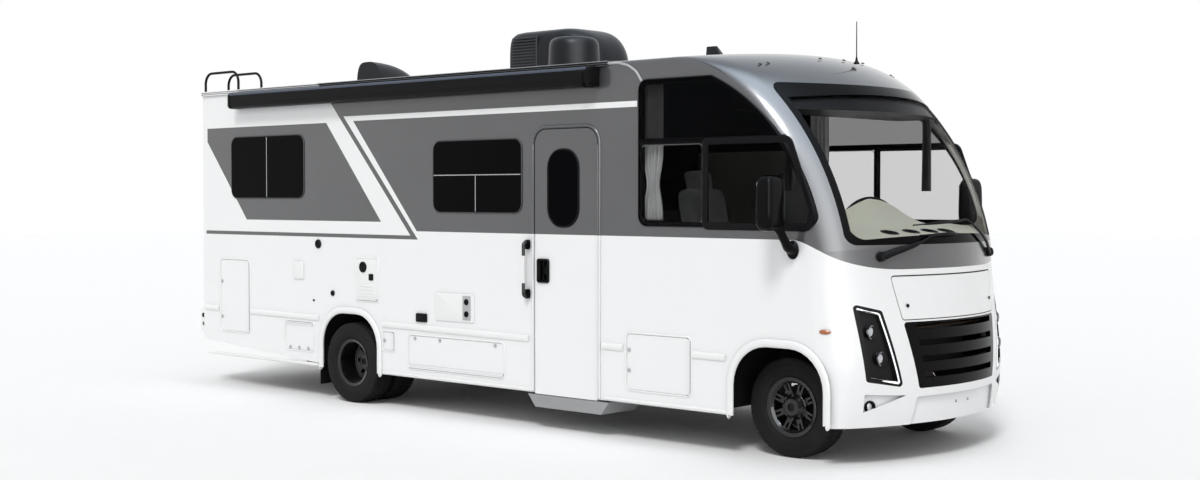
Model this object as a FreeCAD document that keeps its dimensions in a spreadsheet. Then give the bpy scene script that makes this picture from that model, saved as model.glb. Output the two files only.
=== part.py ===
import FreeCAD, Part
import math
import os
import Sketcher
from types import SimpleNamespace
from FreeCAD import Rotation, Vector

# Motorhome with an integrated cab on a ladder frame, single wheels in front and twin wheels behind.
# Millimetres. +X points to the nose, +Y to the driver's side (left), +Z up, and the tyres stand on z = 0.
# Stations along X are written from the front axle and are moved so that the origin lies midway.

SIZES = {
    # Driving dimensions
    "nose_reach": 889,
    "tail_reach": 7380,
    "wheelbase": 4826,
    "body_width": 2388,
    "wall": 32,
    "house_tail": 7230,
    "eaves_z": 2955,
    "floor_top": 950,
    "floor_depth": 50,
    "floor_corner_x": 480,
    "floor_corner_y": 1040,
    "floor_nose_half": 690,
    "sill_z": 300,
    "tail_sill_z": 451,
    "slope_sill_z": 333,
    "slope_foot": 5300,
    "panel_gap": 7,
    "lid_thick": 22,
    "flap_lid_thick": 12,
    "hinge_out": 6,
    "hinge_clear": 0.3,
    "hinge_strap": 26,
    "hinge_strap_thick": 4,
    "hinge_end": 12,
    # Side wall outline
    "wall_front": 50,
    "wall_shoulder_z": 1750,
    "wall_corner": 1250,
    "wall_corner_z": 2800,
    "cap_back": 1605,
    # Roof
    "roof_top": 3043,
    "roof_edge": 2990,
    "roof_peak": 3085,
    "roof_bow": 12000,
    "roof_round": 30,
    # Nose
    "nose_foot_z": 280,
    "nose_foot_in": 34,
    "bumper_z": 540,
    "grille_top_z": 1020,
    "grille_top_in": 30,
    "hood_top_z": 1356,
    "hood_top_in": 74,
    "glass_foot_z": 1585,
    "glass_head_z": 2756,
    "glass_arc": 2197,
    "glass_arc_back": 1355,
    "glass_arc_z": 1168,
    "nose_bow": 1950,
    "corner_round": 150,
    "cap_wall": 28,
    "glass_thick": 8,
    "glass_half": 1045,
    "glass_round": 80,
    "glass_lap": 10,
    # Hood, grille and lamps
    "hood_half_top": 724,
    "hood_half_foot": 656,
    "hood_round": 28,
    "hood_skin": 5,
    "hood_top_gap": 10,
    "hood_pivot_x": 715,
    "hood_pivot_z": 1500,
    "hood_arm_y": 250,
    "hood_arm_half": 8,
    "hood_arm_reach": 190,
    "hood_barrel": 16,
    "hood_pin": 8,
    "hood_arm_foot_turn": 142,
    "hood_arm_elbow_turn": 110,
    "hood_arm_level_turn": 82,
    "hood_arm_end_turn": 66,
    "hood_arm_root_turn": 134,
    "grille_half_top": 651,
    "grille_half_foot": 537,
    "grille_round": 24,
    "grille_depth": 40,
    "grille_side": 84,
    "grille_lintel": 12,
    "slat_count": 4,
    "slat": 74,
    "lamp_top_out": 1033,
    "lamp_top_out_z": 1161,
    "lamp_top_in": 819,
    "lamp_top_in_z": 1108,
    "lamp_foot_in": 682,
    "lamp_foot_in_z": 556,
    "lamp_foot_out": 980,
    "lamp_foot_out_z": 609,
    "lamp_round": 26,
    "lamp_depth": 70,
    "lamp_dish": 34,
    "lamp_bezel": 34,
    "projector": 48,
    "projector_high_y": 905,
    "projector_high_z": 958,
    "projector_low_y": 850,
    "projector_low_z": 768,
    "fog_far_y": 990,
    "fog_far_top_z": 520,
    "fog_far_foot_z": 392,
    "fog_near_y": 655,
    "fog_near_z": 497,
    "recess_depth": 22,
    "recess_half_top": 555,
    "recess_half_foot": 600,
    "recess_top_z": 481,
    "overrun": 100,
    # Wheel arches and liners
    "arch_half": 428,
    "arch_top": 858,
    "arch_round": 330,
    "front_arch_shift": 34,
    "rear_arch_shift": -22,
    "liner": 6,
    "liner_room": 470,
    "liner_top": 878,
    "liner_inner": 600,
    "front_liner_inner": 530,
    # Tyres and rims
    "tyre_radius": 372,
    "tyre_width": 223,
    "bead_radius": 203,
    "flange_radius": 221,
    "rim_half": 83,
    "rim_skin": 10,
    "front_track_half": 880,
    "dual_outer": 1090,
    "dual_inner": 810,
    "disc_out": 50,
    "disc_skin": 14,
    "hub_radius": 62,
    "hub_out": 96,
    "hub_bore": 30.1,
    "hub_back": 22,
    "spindle": 30,
    "spoke_count": 8,
    "lug_circle": 165.1,
    "lug_radius": 11,
    "lug_out": 24,
    "window_foot": 98,
    "window_top": 176,
    "window_half_foot": 14,
    "window_half_top": 46,
    "slit_half": 6,
    "slit_foot": 128,
    "hand_hole": 20,
    "hand_circle": 145,
    # Axles, knuckles and springs
    "kingpin_y": 790,
    "kingpin": 18,
    "kingpin_bore": 18.1,
    "kingpin_boss": 34,
    "boss_half": 90,
    "ear": 26,
    "ear_half": 34,
    "ear_gap": 1,
    "brake_radius": 160,
    "brake_thick": 30,
    "brake_y": 838,
    "beam_half": 45,
    "beam_depth": 80,
    "beam_drop": 40,
    "axle_tube": 60,
    "axle_tube_end": 690,
    "diff_radius": 165,
    "diff_length": 300,
    "coil_y": 505,
    "coil_radius": 62,
    "coil_wire": 9,
    "coil_seat": 12,
    "coil_turns": 6,
    "leaf_y": 500,
    "leaf_width": 70,
    "leaf_half": 640,
    "leaf_thick": 13,
    "leaf_count": 4,
    "leaf_rise": 90,
    "leaf_pad": 60,
    # Ladder frame
    "rail_front": 620,
    "rail_tail": 7190,
    "rail_out": 432,
    "rail_flange": 70,
    "rail_metal": 8,
    "rail_top": 800,
    "rail_depth": 190,
    "mount_half": 50,
    "hanger_length": 60,
    "cross_count": 7,
    "cross_width": 70,
    "cross_front": 1620,
    "cross_step": 900,
    # Entry door and steps
    "door_front": 1720,
    "door_back": 2433,
    "door_top": 2477,
    "door_foot": 290,
    "door_round": 130,
    "door_glass_front": 1931,
    "door_glass_back": 2274,
    "door_glass_foot": 1676,
    "door_glass_top": 2304,
    "door_glass_round": 150,
    "step_foot": 180,
    "step_front": 1605,
    "step_back": 2510,
    "step_slope": 85,
    "step_skin": 16,
    "step_depth": 780,
    "tread_z": 560,
    "tread_depth": 950,
    # Side windows
    "pane": 6,
    "frame_width": 38,
    "frame_rim": 8,
    "frame_depth": 40,
    "frame_proud": 8,
    "bar_width": 26,
    "rear_window_front": 5531,
    "rear_window_back": 6720,
    "rear_window_foot": 1904,
    "rear_window_top": 2515,
    "mid_window_front": 2576,
    "mid_window_back": 3676,
    "mid_window_foot": 1782,
    "mid_window_top": 2405,
    "window_round": 85,
    "cab_window_back": 1294,
    "cab_window_foot": 1690,
    "cab_window_top": 2828,
    "cab_window_kink": 575,
    "cab_window_peak": 107,
    "cab_window_peak_z": 2510,
    "cab_window_front": 389,
    "cab_window_arc": 1650,
    "cab_window_bar_z": 2336,
    "cab_window_slide": 638,
    # Hatches
    "tall_front": 6440,
    "tall_back": 6930,
    "tall_foot": 554,
    "tall_top": 1286,
    "low_front": 5395,
    "low_back": 5843,
    "low_foot": 438,
    "low_top": 706,
    "long_front": 2790,
    "long_back": 4020,
    "long_foot": 393,
    "long_top": 684,
    "big_front": 780,
    "big_back": 1420,
    "big_foot": 405,
    "big_top": 852,
    "fuel_front": 4221,
    "fuel_back": 4374,
    "fuel_foot": 521,
    "fuel_top": 694,
    "heater_front": 4443,
    "heater_back": 4757,
    "heater_foot": 969,
    "heater_top": 1350,
    "hatch_round": 38,
    "flap_round": 14,
    "bay_skin": 8,
    "bay_lip": 6,
    "bay_inner": 486,
    "low_bay_inner": 600,
    "heater_inner": 820,
    "fuel_inner": 1080,
    # Roof equipment
    "ac_front": 2500,
    "ac_back": 3600,
    "ac_half": 350,
    "ac_top": 3449,
    "ac_round": 40,
    "ac_tail_drop": 129,
    "ac_crest": 3050,
    "ac_nose_drop": 169,
    "ac_brow": 300,
    "louvre_front": 3270,
    "louvre_end": 40,
    "louvre_foot": 3085,
    "louvre_count": 9,
    "louvre": 12,
    "louvre_step": 24,
    "louvre_depth": 14,
    "fan_x": 2445,
    "fan_y": 700,
    "fan_half": 290,
    "fan_top": 3270,
    "fan_taper": 22,
    "fan_round": 60,
    "wedge_front": 5000,
    "wedge_back": 5450,
    "wedge_y": 450,
    "wedge_half": 160,
    "wedge_top": 3170,
    "wedge_nose": 90,
    "wedge_lip": 40,
    "fin_front": 1050,
    "fin_back": 1260,
    "fin_y": 400,
    "fin_half": 28,
    "fin_top": 3190,
    "roof_sink": 30,
    # Awning
    "awning_front": 1711,
    "awning_back": 6594,
    "awning_foot": 2797,
    "awning_top": 2950,
    "awning_out": 130,
    "awning_round": 38,
    # Ladder
    "ladder_tube": 13,
    "ladder_out": 1090,
    "ladder_in": 810,
    "ladder_off": 100,
    "ladder_foot": 1330,
    "ladder_top": 3190,
    "ladder_reach": 6750,
    "ladder_bend": 110,
    "rung_first": 1720,
    "rung_step": 390,
    "rung_count": 4,
    # Tail
    "bumper_top": 750,
    "bumper_foot": 520,
    "bumper_half": 1160,
    "bumper_round": 60,
    "receiver_half": 38,
    "receiver_bore": 25.5,
    "receiver_z": 470,
    "receiver_length": 260,
    "receiver_pin": 8.2,
    "receiver_pin_in": 45,
    "receiver_drop": 12,
    "tail_lamp_y": 1060,
    "tail_lamp_z": 1000,
    "tail_lamp_half": 50,
    "tail_lamp_tall": 150,
    "tail_lamp_out": 22,
    # Mirrors and wipers
    "mirror_y": 1420,
    "mirror_x": 85,
    "mirror_low": 1672,
    "mirror_high": 2062,
    "mirror_half": 105,
    "mirror_deep": 120,
    "mirror_round": 40,
    "mirror_arm": 20,
    "mirror_base_x": 170,
    "mirror_base_z": 1545,
    "mirror_arm_out": 70,
    "mirror_plate": 14,
    "wiper_arm": 9,
    "wiper_z": 1566,
    "wiper_out": 30,
    "wiper_rise": 95,
    "wiper_drop": 30,
    "wiper_right_y": 820,
    "wiper_right_reach": 738,
    "wiper_left_y": 280,
    "wiper_left_reach": 574,
    "wiper_pivot": 18,
    # Cab and living space
    "dash_back": 120,
    "dash_front": 430,
    "dash_top": 1555,
    "dash_fall": 90,
    "dash_foot": 1130,
    "dash_toe": 40,
    "dash_round": 50,
    "dash_ledge": 100,
    "cowl": 30,
    "console_back": 560,
    "console_half": 360,
    "console_top": 1230,
    "console_skin": 30,
    "header_foot": 2560,
    "header_back": 420,
    "header_front": 600,
    "seat_y": 620,
    "seat_front": 430,
    "seat_length": 520,
    "seat_width": 540,
    "seat_top": 1420,
    "seat_thick": 150,
    "back_thick": 150,
    "back_top": 2120,
    "back_lean": 150,
    "pedestal_half": 170,
    "wheel_ring": 210,
    "wheel_grip": 15,
    "wheel_x": 70,
    "wheel_z": 1560,
    "wheel_tilt": 40,
    "hub_back_depth": 30,
    "hub_thick": 40,
    "hub_half": 52,
    "spoke_width": 40,
    "spoke_thick": 14,
    "column": 25,
    "column_length": 160,
    "bench_front": 1500,
    "bench_back": 2350,
    "bench_inner": 560,
    "bench_top": 1430,
    "bench_back_top": 1850,
    "bench_back_thick": 140,
    "curtain_thick": 50,
    "curtain_width": 190,
    "screen_curtain_foot": 1960,
    "screen_curtain_front": -10,
    "screen_curtain_deep": 90,
    "screen_curtain_inner": 920,
    "screen_curtain_wide": 100,
    # Under the floor
    "engine_front": 450,
    "engine_back": 430,
    "engine_half": 280,
    "engine_foot": 425,
    "engine_top": 1100,
    "engine_room": 340,
    "fuel_tank_front": 5620,
    "fuel_tank_back": 6500,
    "fuel_tank_half": 300,
    "fuel_tank_foot": 440,
    "water_tank_front": 1600,
    "water_tank_back": 2500,
    "water_tank_inner": 500,
    "water_tank_outer": 1100,
    "water_tank_foot": 560,
    "shaft_radius": 42,
    "shaft_front": 500,
    "shaft_front_z": 560,
    "pipe": 32,
    "pipe_y": 200,
    "pipe_z": 530,
    "pipe_turn": 5560,
    "pipe_end_y": 1130,
    "pipe_end_z": 330,
    "pipe_bend": 120,
    "muffler": 90,
    "muffler_front": 2800,
    "muffler_back": 3450,
    "pipe_hanger": 6,
    "flap_x": 5330,
    "flap_thick": 8,
    "flap_foot": 130,
    "flap_hold": 40,
    "handle_x": 2500,
    "handle_low": 1094,
    "handle_high": 1543,
    "handle_out": 62,
    "handle_tube": 14,
}


class Size(float):
    """A length that also carries the expression which ties a property to the sheet."""

    def __new__(cls, number, text):
        size = super().__new__(cls, number)
        size.text = text
        return size

    def __add__(self, other):
        return Size(float(self) + float(other), f"({self.text} + {written(other)})")

    def __radd__(self, other):
        return Size(float(other) + float(self), f"({written(other)} + {self.text})")

    def __sub__(self, other):
        return Size(float(self) - float(other), f"({self.text} - {written(other)})")

    def __rsub__(self, other):
        return Size(float(other) - float(self), f"({written(other)} - {self.text})")

    def __mul__(self, other):
        return Size(float(self) * float(other), f"({self.text} * {written(other)})")

    def __rmul__(self, other):
        return Size(float(other) * float(self), f"({written(other)} * {self.text})")

    def __truediv__(self, other):
        return Size(float(self) / float(other), f"({self.text} / {written(other)})")

    def __neg__(self):
        return Size(-float(self), f"(0 - {self.text})")


def written(number):
    """The number as it stands in an expression."""
    return number.text if isinstance(number, Size) else f"({float(number)})"


doc = FreeCAD.newDocument("motorhome")
sheet = doc.addObject("Spreadsheet::Sheet", "sizes")
for row, (name, number) in enumerate(SIZES.items(), start=1):
    sheet.set(f"A{row}", name)
    sheet.set(f"B{row}", str(number))
    sheet.setAlias(f"B{row}", name)
doc.recompute()
size = SimpleNamespace(**{name: Size(number, f"sizes.{name}") for name, number in SIZES.items()})

axle_x = (size.tail_reach - size.nose_reach) / 2
half_width = size.body_width / 2
inner_y = half_width - size.wall
wheel_z = size.tyre_radius
rear_x = -size.wheelbase
tail_x = -size.house_tail
floor_foot = size.floor_top - size.floor_depth
parts = {}


def part(name, item):
    """Give a finished sub-part its own label, which names its file."""
    item.Label = name
    parts[name] = item
    return item


def place(item, x, y, z, axis=Vector(0, 0, 1), degrees=0):
    """Place an object at a station, with its position tied to the sheet."""
    spot = (axle_x + x, y, z)
    item.Placement = FreeCAD.Placement(Vector(*spot), Rotation(axis, degrees))
    for letter, length in zip("xyz", spot):
        item.setExpression(f"Placement.Base.{letter}", written(length))
    return item


def block(name, x, y, z):
    """Box between a low and a high size along each axis."""
    item = doc.addObject("Part::Box", name)
    for prop, (low, high) in zip(("Length", "Width", "Height"), (x, y, z)):
        item.setExpression(prop, written(high - low))
    return place(item, x[0], y[0], z[0])


TURNS = {"x": (Vector(0, 1, 0), 90), "y": (Vector(1, 0, 0), -90), "z": (Vector(0, 0, 1), 0)}


def rod(name, radius, length, along, x, y, z):
    """Round bar that starts at a point and runs along an axis."""
    item = doc.addObject("Part::Cylinder", name)
    item.setExpression("Radius", written(radius))
    item.setExpression("Height", written(length))
    return place(item, x, y, z, *TURNS[along])


def fuse(name, items):
    """Join overlapping or touching objects into one."""
    item = doc.addObject("Part::MultiFuse", name)
    item.Shapes = items
    return item


def group(name, items):
    """Like pieces on one body that don't touch, as one sub-part."""
    item = doc.addObject("Part::Compound", name)
    item.Links = items
    return item


def cut(name, base, tools):
    """Take the tools out of the base."""
    item = doc.addObject("Part::Cut", name)
    item.Base = base
    item.Tool = tools[0] if len(tools) == 1 else fuse(name + "_tools", tools)
    return item


def common(name, first, second):
    """What two objects share."""
    item = doc.addObject("Part::Common", name)
    item.Base = first
    item.Tool = second
    return item


def mirrored(name, source):
    """The same object on the other side of the centre plane."""
    item = doc.addObject("Part::Mirroring", name)
    item.Source = source
    item.Normal = Vector(0, 1, 0)
    return item


def corner_arc(before, at, after, radius):
    """Entry point, exit point, centre and turning sense of a corner rounded with a radius."""
    toward = (before - at).normalize()
    away = (after - at).normalize()
    half = toward.getAngle(away) / 2
    reach = radius / math.tan(half)
    centre = at + (toward + away).normalize() * (radius / math.sin(half))
    leftward = (at - before).cross(after - at).z > 0
    return at + toward * reach, at + away * reach, centre, leftward


def corner_plan(corners):
    """For each corner of a closed outline: entry, exit, centre or None, and turning sense."""
    spots = [Vector(float(u), float(v), 0) for u, v, radius in corners]
    plan = []
    for i, (u, v, radius) in enumerate(corners):
        if float(radius) == 0:
            plan.append((spots[i], spots[i], None, True))
        else:
            after = spots[(i + 1) % len(spots)]
            plan.append(corner_arc(spots[i - 1], spots[i], after, float(radius)))
    return plan


def rounded_arc(entry, leave, centre, radius, leftward):
    """Counter-clockwise arc between the two ends of a rounded corner."""
    first, last = (entry, leave) if leftward else (leave, entry)
    circle = Part.Circle(centre, Vector(0, 0, 1), radius)
    return Part.ArcOfCircle(circle, circle.parameter(first), circle.parameter(last))


def draw_outline(sketch, corners):
    """Closed outline through corners (u, v, radius), each tied to the sheet by its own point."""
    plan = corner_plan(corners)
    count = len(corners)
    lines = []
    for i in range(count):
        lines.append(sketch.addGeometry(Part.LineSegment(plan[i][1], plan[(i + 1) % count][0])))
    for i, (u, v, radius) in enumerate(corners):
        entry, leave, centre, leftward = plan[i]
        before, after = lines[i - 1], lines[i]
        if centre is None:
            sketch.addConstraint(Sketcher.Constraint("Coincident", before, 2, after, 1))
            tie_point(sketch, after, 1, u, v)
            continue
        arc = sketch.addGeometry(rounded_arc(entry, leave, centre, float(radius), leftward))
        spot = sketch.addGeometry(Part.Point(Vector(float(u), float(v), 0)), True)
        first, last = (1, 2) if leftward else (2, 1)
        sketch.addConstraint([
            Sketcher.Constraint("Tangent", before, 2, arc, first),
            Sketcher.Constraint("Tangent", after, 1, arc, last),
            Sketcher.Constraint("PointOnObject", spot, 1, before),
            Sketcher.Constraint("PointOnObject", spot, 1, after),
        ])
        tie_point(sketch, spot, 1, u, v)
        bound = sketch.addConstraint(Sketcher.Constraint("Radius", arc, float(radius)))
        sketch.setExpression(f"Constraints[{bound}]", written(radius))


def tie_point(sketch, line, end, u, v):
    """Hold one point of a sketch at sizes of the sheet."""
    for kind, length in (("DistanceX", u), ("DistanceY", v)):
        bound = sketch.addConstraint(Sketcher.Constraint(kind, line, end, float(length)))
        sketch.setExpression(f"Constraints[{bound}]", written(length))


def new_sketch(body, role, name):
    """Sketch on one of the body's own origin planes."""
    sketch = body.newObject("Sketcher::SketchObject", name)
    plane = next(plane for plane in body.Origin.OriginFeatures if plane.Role == role)
    sketch.AttachmentSupport = [(plane, "")]
    sketch.MapMode = "FlatFace"
    return sketch


def prism(name, role, corners, low, high, openings=()):
    """Body padded from an outline between two levels, with openings pocketed right through.

    XZ_Plane outlines are (x, z) between two levels of y, YZ_Plane ones (y, z) between two
    stations of x, XY_Plane ones (x, y) between two heights.
    """
    body = doc.addObject("PartDesign::Body", name)
    sketch = new_sketch(body, role, name + "_outline")
    draw_outline(sketch, corners)
    pad = body.newObject("PartDesign::Pad", name + "_pad")
    pad.Profile = sketch
    pad.setExpression("Length", written(high - low))
    for i, opening in enumerate(openings):
        hole = new_sketch(body, role, f"{name}_opening_{i}")
        draw_outline(hole, opening)
        pocket = body.newObject("PartDesign::Pocket", f"{name}_pocket_{i}")
        pocket.Profile = hole
        pocket.Type = "ThroughAll"
        pocket.SideType = "Symmetric"
    starts = {"XZ_Plane": (0, high, 0), "YZ_Plane": (low, 0, 0), "XY_Plane": (0, 0, low)}
    return place(body, *starts[role])


def rectangle(low_u, high_u, low_v, high_v, radius):
    """Corners of a rounded rectangle."""
    return [(low_u, low_v, radius), (high_u, low_v, radius), (high_u, high_v, radius),
            (low_u, high_v, radius)]


def grown(corners, gap):
    """A rounded rectangle made larger by a gap all round."""
    (left, foot, radius), (right, top, _) = corners[0], corners[2]
    return rectangle(left - gap, right + gap, foot - gap, top + gap, radius + gap)


def revolved(name, corners, degrees=0, x=0, y=0, z=0):
    """Body turned about its own Y axis from an outline (y, radius)."""
    body = doc.addObject("PartDesign::Body", name)
    sketch = new_sketch(body, "YZ_Plane", name + "_outline")
    draw_outline(sketch, corners)
    turn = body.newObject("PartDesign::Revolution", name + "_turn")
    turn.Profile = sketch
    turn.ReferenceAxis = (sketch, ["H_Axis"])
    turn.Angle = 360
    return place(body, x, y, z, Vector(0, 0, 1), degrees)


def solid(name, shape):
    """Sub-part whose shape is worked out from the sheet by its own function."""
    fixed = shape.copy()
    where = fixed.Placement
    fixed.Placement = FreeCAD.Placement()
    fixed.transformShape(where.toMatrix(), True)
    item = doc.addObject("Part::Feature", name)
    item.Shape = fixed
    return place(item, 0, 0, 0)


def outline_face(corners, role, level):
    """Face inside a closed outline, at a level of its plane."""
    plan = corner_plan(corners)
    edges = []
    for i, (entry, leave, centre, leftward) in enumerate(plan):
        if centre is not None:
            radius = (entry - centre).Length
            edges.append(rounded_arc(entry, leave, centre, radius, leftward).toShape())
        following = plan[(i + 1) % len(plan)][0]
        if (following - leave).Length > 0.01:
            edges.append(Part.makeLine(leave, following))
    face = Part.Face(Part.Wire(Part.sortEdges(edges)[0]))
    if role == "XZ_Plane":
        face.rotate(Vector(), Vector(1, 0, 0), 90)
        face.translate(Vector(0, level, 0))
    if role == "YZ_Plane":
        face.rotate(Vector(), Vector(1, 1, 1), 120)
        face.translate(Vector(level, 0, 0))
    return face


def outline_prism(corners, role, low, high):
    """Straight solid of an outline between two levels."""
    along = Vector(0, high - low, 0) if role == "XZ_Plane" else Vector(high - low, 0, 0)
    return outline_face(corners, role, low).extrude(along)


def bent_tube(points, radius, bend):
    """Round bar along straight runs joined by tangent arcs of one radius."""
    spots = [Vector(*point) for point in points]
    edges = []
    start = spots[0]
    for before, at, after in zip(spots, spots[1:], spots[2:]):
        toward = (before - at).normalize()
        away = (after - at).normalize()
        half = toward.getAngle(away) / 2
        reach = bend / math.tan(half)
        centre = at + (toward + away).normalize() * (bend / math.sin(half))
        entry, leave = at + toward * reach, at + away * reach
        middle = centre + (at - centre).normalize() * bend
        edges.append(Part.makeLine(start, entry))
        edges.append(Part.Arc(entry, middle, leave).toShape())
        start = leave
    edges.append(Part.makeLine(start, spots[-1]))
    ring = Part.Wire(Part.makeCircle(radius, spots[0], spots[1] - spots[0]))
    return Part.Wire(edges).makePipeShell([ring], True, False)


# Shared outlines of the side openings, as (x, z) corners
def arch(centre):
    """Wheel arch opening about a station."""
    foot = size.tail_sill_z - size.arch_half
    return [(centre - size.arch_half, foot, 0), (centre + size.arch_half, foot, 0),
            (centre + size.arch_half, size.arch_top, size.arch_round),
            (centre - size.arch_half, size.arch_top, size.arch_round)]


front_arch = arch(size.front_arch_shift)
rear_arch = arch(rear_x + size.rear_arch_shift)
doorway = [(-size.door_back, size.step_foot, 0), (-size.door_front, size.step_foot, 0),
           (-size.door_front, size.door_top, size.door_round),
           (-size.door_back, size.door_top, size.door_round)]
rear_window = rectangle(-size.rear_window_back, -size.rear_window_front, size.rear_window_foot,
                        size.rear_window_top, size.window_round)
mid_window = rectangle(-size.mid_window_back, -size.mid_window_front, size.mid_window_foot,
                       size.mid_window_top, size.window_round)
cab_window = [(-size.cab_window_back, size.cab_window_foot, size.window_round),
              (size.cab_window_front, size.cab_window_foot, size.window_round),
              (size.cab_window_peak, size.cab_window_peak_z, size.cab_window_arc),
              (-size.cab_window_kink, size.cab_window_top, size.roof_round),
              (-size.cab_window_back, size.cab_window_top, size.window_round)]


def hatch_outline(front, back, foot, top, radius=size.hatch_round):
    """Rounded opening of a hatch in the side wall."""
    return rectangle(-back, -front, foot, top, radius)


tall_hatch = hatch_outline(size.tall_front, size.tall_back, size.tall_foot, size.tall_top)
low_hatch = hatch_outline(size.low_front, size.low_back, size.low_foot, size.low_top)
long_hatch = hatch_outline(size.long_front, size.long_back, size.long_foot, size.long_top)
big_hatch = hatch_outline(size.big_front, size.big_back, size.big_foot, size.big_top)
fuel_flap = hatch_outline(size.fuel_front, size.fuel_back, size.fuel_foot, size.fuel_top,
                          size.flap_round)
heater_door = hatch_outline(size.heater_front, size.heater_back, size.heater_foot,
                            size.heater_top, size.flap_round)

# Side walls: flat laminated panels with the skirt, cut for windows, doors, hatches and arches
wall_outline = [(tail_x, size.tail_sill_z, 0), (-size.slope_foot, size.slope_sill_z, 0),
                (rear_x + size.arch_half, size.sill_z, 0), (size.wall_front, size.sill_z, 0),
                (size.wall_front, size.wall_shoulder_z, 0),
                (-size.wall_corner, size.wall_corner_z, 0), (-size.cap_back, size.eaves_z, 0),
                (tail_x, size.eaves_z, 0)]
right_openings = [front_arch, rear_arch, cab_window, rear_window, mid_window, doorway, tall_hatch,
                  low_hatch, long_hatch, big_hatch, fuel_flap, heater_door]
left_openings = [front_arch, rear_arch, cab_window, rear_window, mid_window, tall_hatch,
                 long_hatch, big_hatch]
part("right_wall", prism("right_wall_body", "XZ_Plane", wall_outline, -half_width, -inner_y,
                         right_openings))
part("left_wall", prism("left_wall_body", "XZ_Plane", wall_outline, inner_y, half_width,
                        left_openings))


def hinge(name, edge, low, high, side, along, inward):
    """Hinge barrel on the outside of the wall at the edge of an opening, with its strap.

    The edge is a station or a height, the barrel runs from low to high along z or x, and inward
    is 1 or -1, towards the leaf that the strap is fixed to.
    """
    radius = size.hinge_out - size.hinge_clear
    out = (half_width + size.hinge_out) * side
    near, far = edge + size.hinge_strap_thick * inward, edge + size.hinge_strap * inward
    span = (near, far) if inward > 0 else (far, near)
    thick = size.hinge_strap_thick
    depth = (half_width, half_width + thick) if side > 0 else (-half_width - thick, -half_width)
    start, end = low + size.hinge_end, high - size.hinge_end
    if along == "z":
        barrel = rod(name + "_barrel", radius, end - start, "z", edge, out, start)
        strap = block(name + "_strap", span, depth, (start, end))
    else:
        barrel = rod(name + "_barrel", radius, end - start, "x", start, out, edge)
        strap = block(name + "_strap", (start, end), depth, span)
    return [barrel, strap]


def lid(name, outline, side, hung, thick):
    """Flat leaf flush with the wall in an opening, with its hinge at the front, top or foot."""
    leaf = grown(outline, -size.panel_gap)
    depth = (-half_width, thick - half_width) if side < 0 else (half_width - thick, half_width)
    (left, foot, radius), (right, top, _) = outline[0], outline[2]
    edges = {"front": (right, foot, top, "z", -1), "top": (top, left, right, "x", -1),
             "foot": (foot, left, right, "x", 1)}
    edge, low, high, along, inward = edges[hung]
    pieces = hinge(name, edge, low, high, side, along, inward)
    return part(name, fuse(name + "_hung", [prism(name + "_body", "XZ_Plane", leaf, *depth)] + pieces))


lid("tall_hatch_right", tall_hatch, -1, "front", size.lid_thick)
lid("low_hatch_right", low_hatch, -1, "top", size.lid_thick)
lid("long_hatch_right", long_hatch, -1, "foot", size.lid_thick)
lid("front_hatch_right", big_hatch, -1, "front", size.lid_thick)
lid("fuel_door", fuel_flap, -1, "front", size.flap_lid_thick)
lid("heater_door", heater_door, -1, "foot", size.flap_lid_thick)
lid("tall_hatch_left", tall_hatch, 1, "front", size.lid_thick)
lid("long_hatch_left", long_hatch, 1, "foot", size.lid_thick)
lid("front_hatch_left", big_hatch, 1, "front", size.lid_thick)

# Entry door: leaf with a tall window with round ends
leaf_back, leaf_front = -size.door_back + size.panel_gap, -size.door_front - size.panel_gap
leaf_top, leaf_round = size.door_top - size.panel_gap, size.door_round - size.panel_gap
door_leaf = [(leaf_back, size.door_foot, 0), (leaf_front, size.door_foot, 0),
             (leaf_front, leaf_top, leaf_round), (leaf_back, leaf_top, leaf_round)]
door_glass = rectangle(-size.door_glass_back, -size.door_glass_front, size.door_glass_foot,
                       size.door_glass_top, size.door_glass_round)
door_body = prism("entry_door_body", "XZ_Plane", door_leaf, -half_width, -inner_y, [door_glass])
part("entry_door", fuse("entry_door_hung", [door_body] + hinge(
    "entry_door", -size.door_front, size.door_foot, size.door_top - size.door_round, -1, "z", -1)))
part("entry_door_glass", prism("entry_door_glass_body", "XZ_Plane", door_glass,
                               -half_width, -half_width + size.pane))

# Rear wall between the side walls
rear_wall = rectangle(-inner_y, inner_y, size.tail_sill_z, size.eaves_z, 0)
slot_half = size.receiver_half + size.panel_gap
receiver_slot = rectangle(-slot_half, slot_half, size.tail_sill_z - size.receiver_half,
                          size.receiver_z + slot_half, 0)
part("rear_wall", prism("rear_wall_body", "YZ_Plane", rear_wall, tail_x, tail_x + size.wall,
                        [receiver_slot]))

# Roof: a crowned panel with rounded edges along both sides
roof_section = [(-half_width, size.eaves_z, 0), (half_width, size.eaves_z, 0),
                (half_width, size.roof_edge, size.roof_round), (0, size.roof_peak, size.roof_bow),
                (-half_width, size.roof_edge, size.roof_round)]
part("roof_panel", prism("roof_body", "YZ_Plane", roof_section, tail_x, -size.cap_back))

# Floor of the living space and cab, cut for the engine, the steps and the tall bays
floor_shoulder = size.arch_half - size.corner_round
floor_outline = [(tail_x + size.wall, -inner_y, 0), (floor_shoulder, -inner_y, 0),
                 (size.floor_corner_x, -size.floor_corner_y, 0),
                 (size.rail_front, -size.floor_nose_half, 0), (size.rail_front, size.floor_nose_half, 0),
                 (size.floor_corner_x, size.floor_corner_y, 0), (floor_shoulder, inner_y, 0),
                 (tail_x + size.wall, inner_y, 0)]
engine_hole = rectangle(-size.console_back + size.console_skin, size.rail_front - size.engine_half / 4,
                        -size.engine_room, size.engine_room, size.hatch_round)
step_hole = rectangle(-size.door_back, -size.door_front, -inner_y - size.wall, -size.step_depth, 0)
tall_low, tall_high = -size.tall_back - size.bay_lip - size.bay_skin, -size.tall_front
tall_high = tall_high + size.bay_lip + size.bay_skin
bay_edge = size.bay_inner - size.bay_skin
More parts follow.
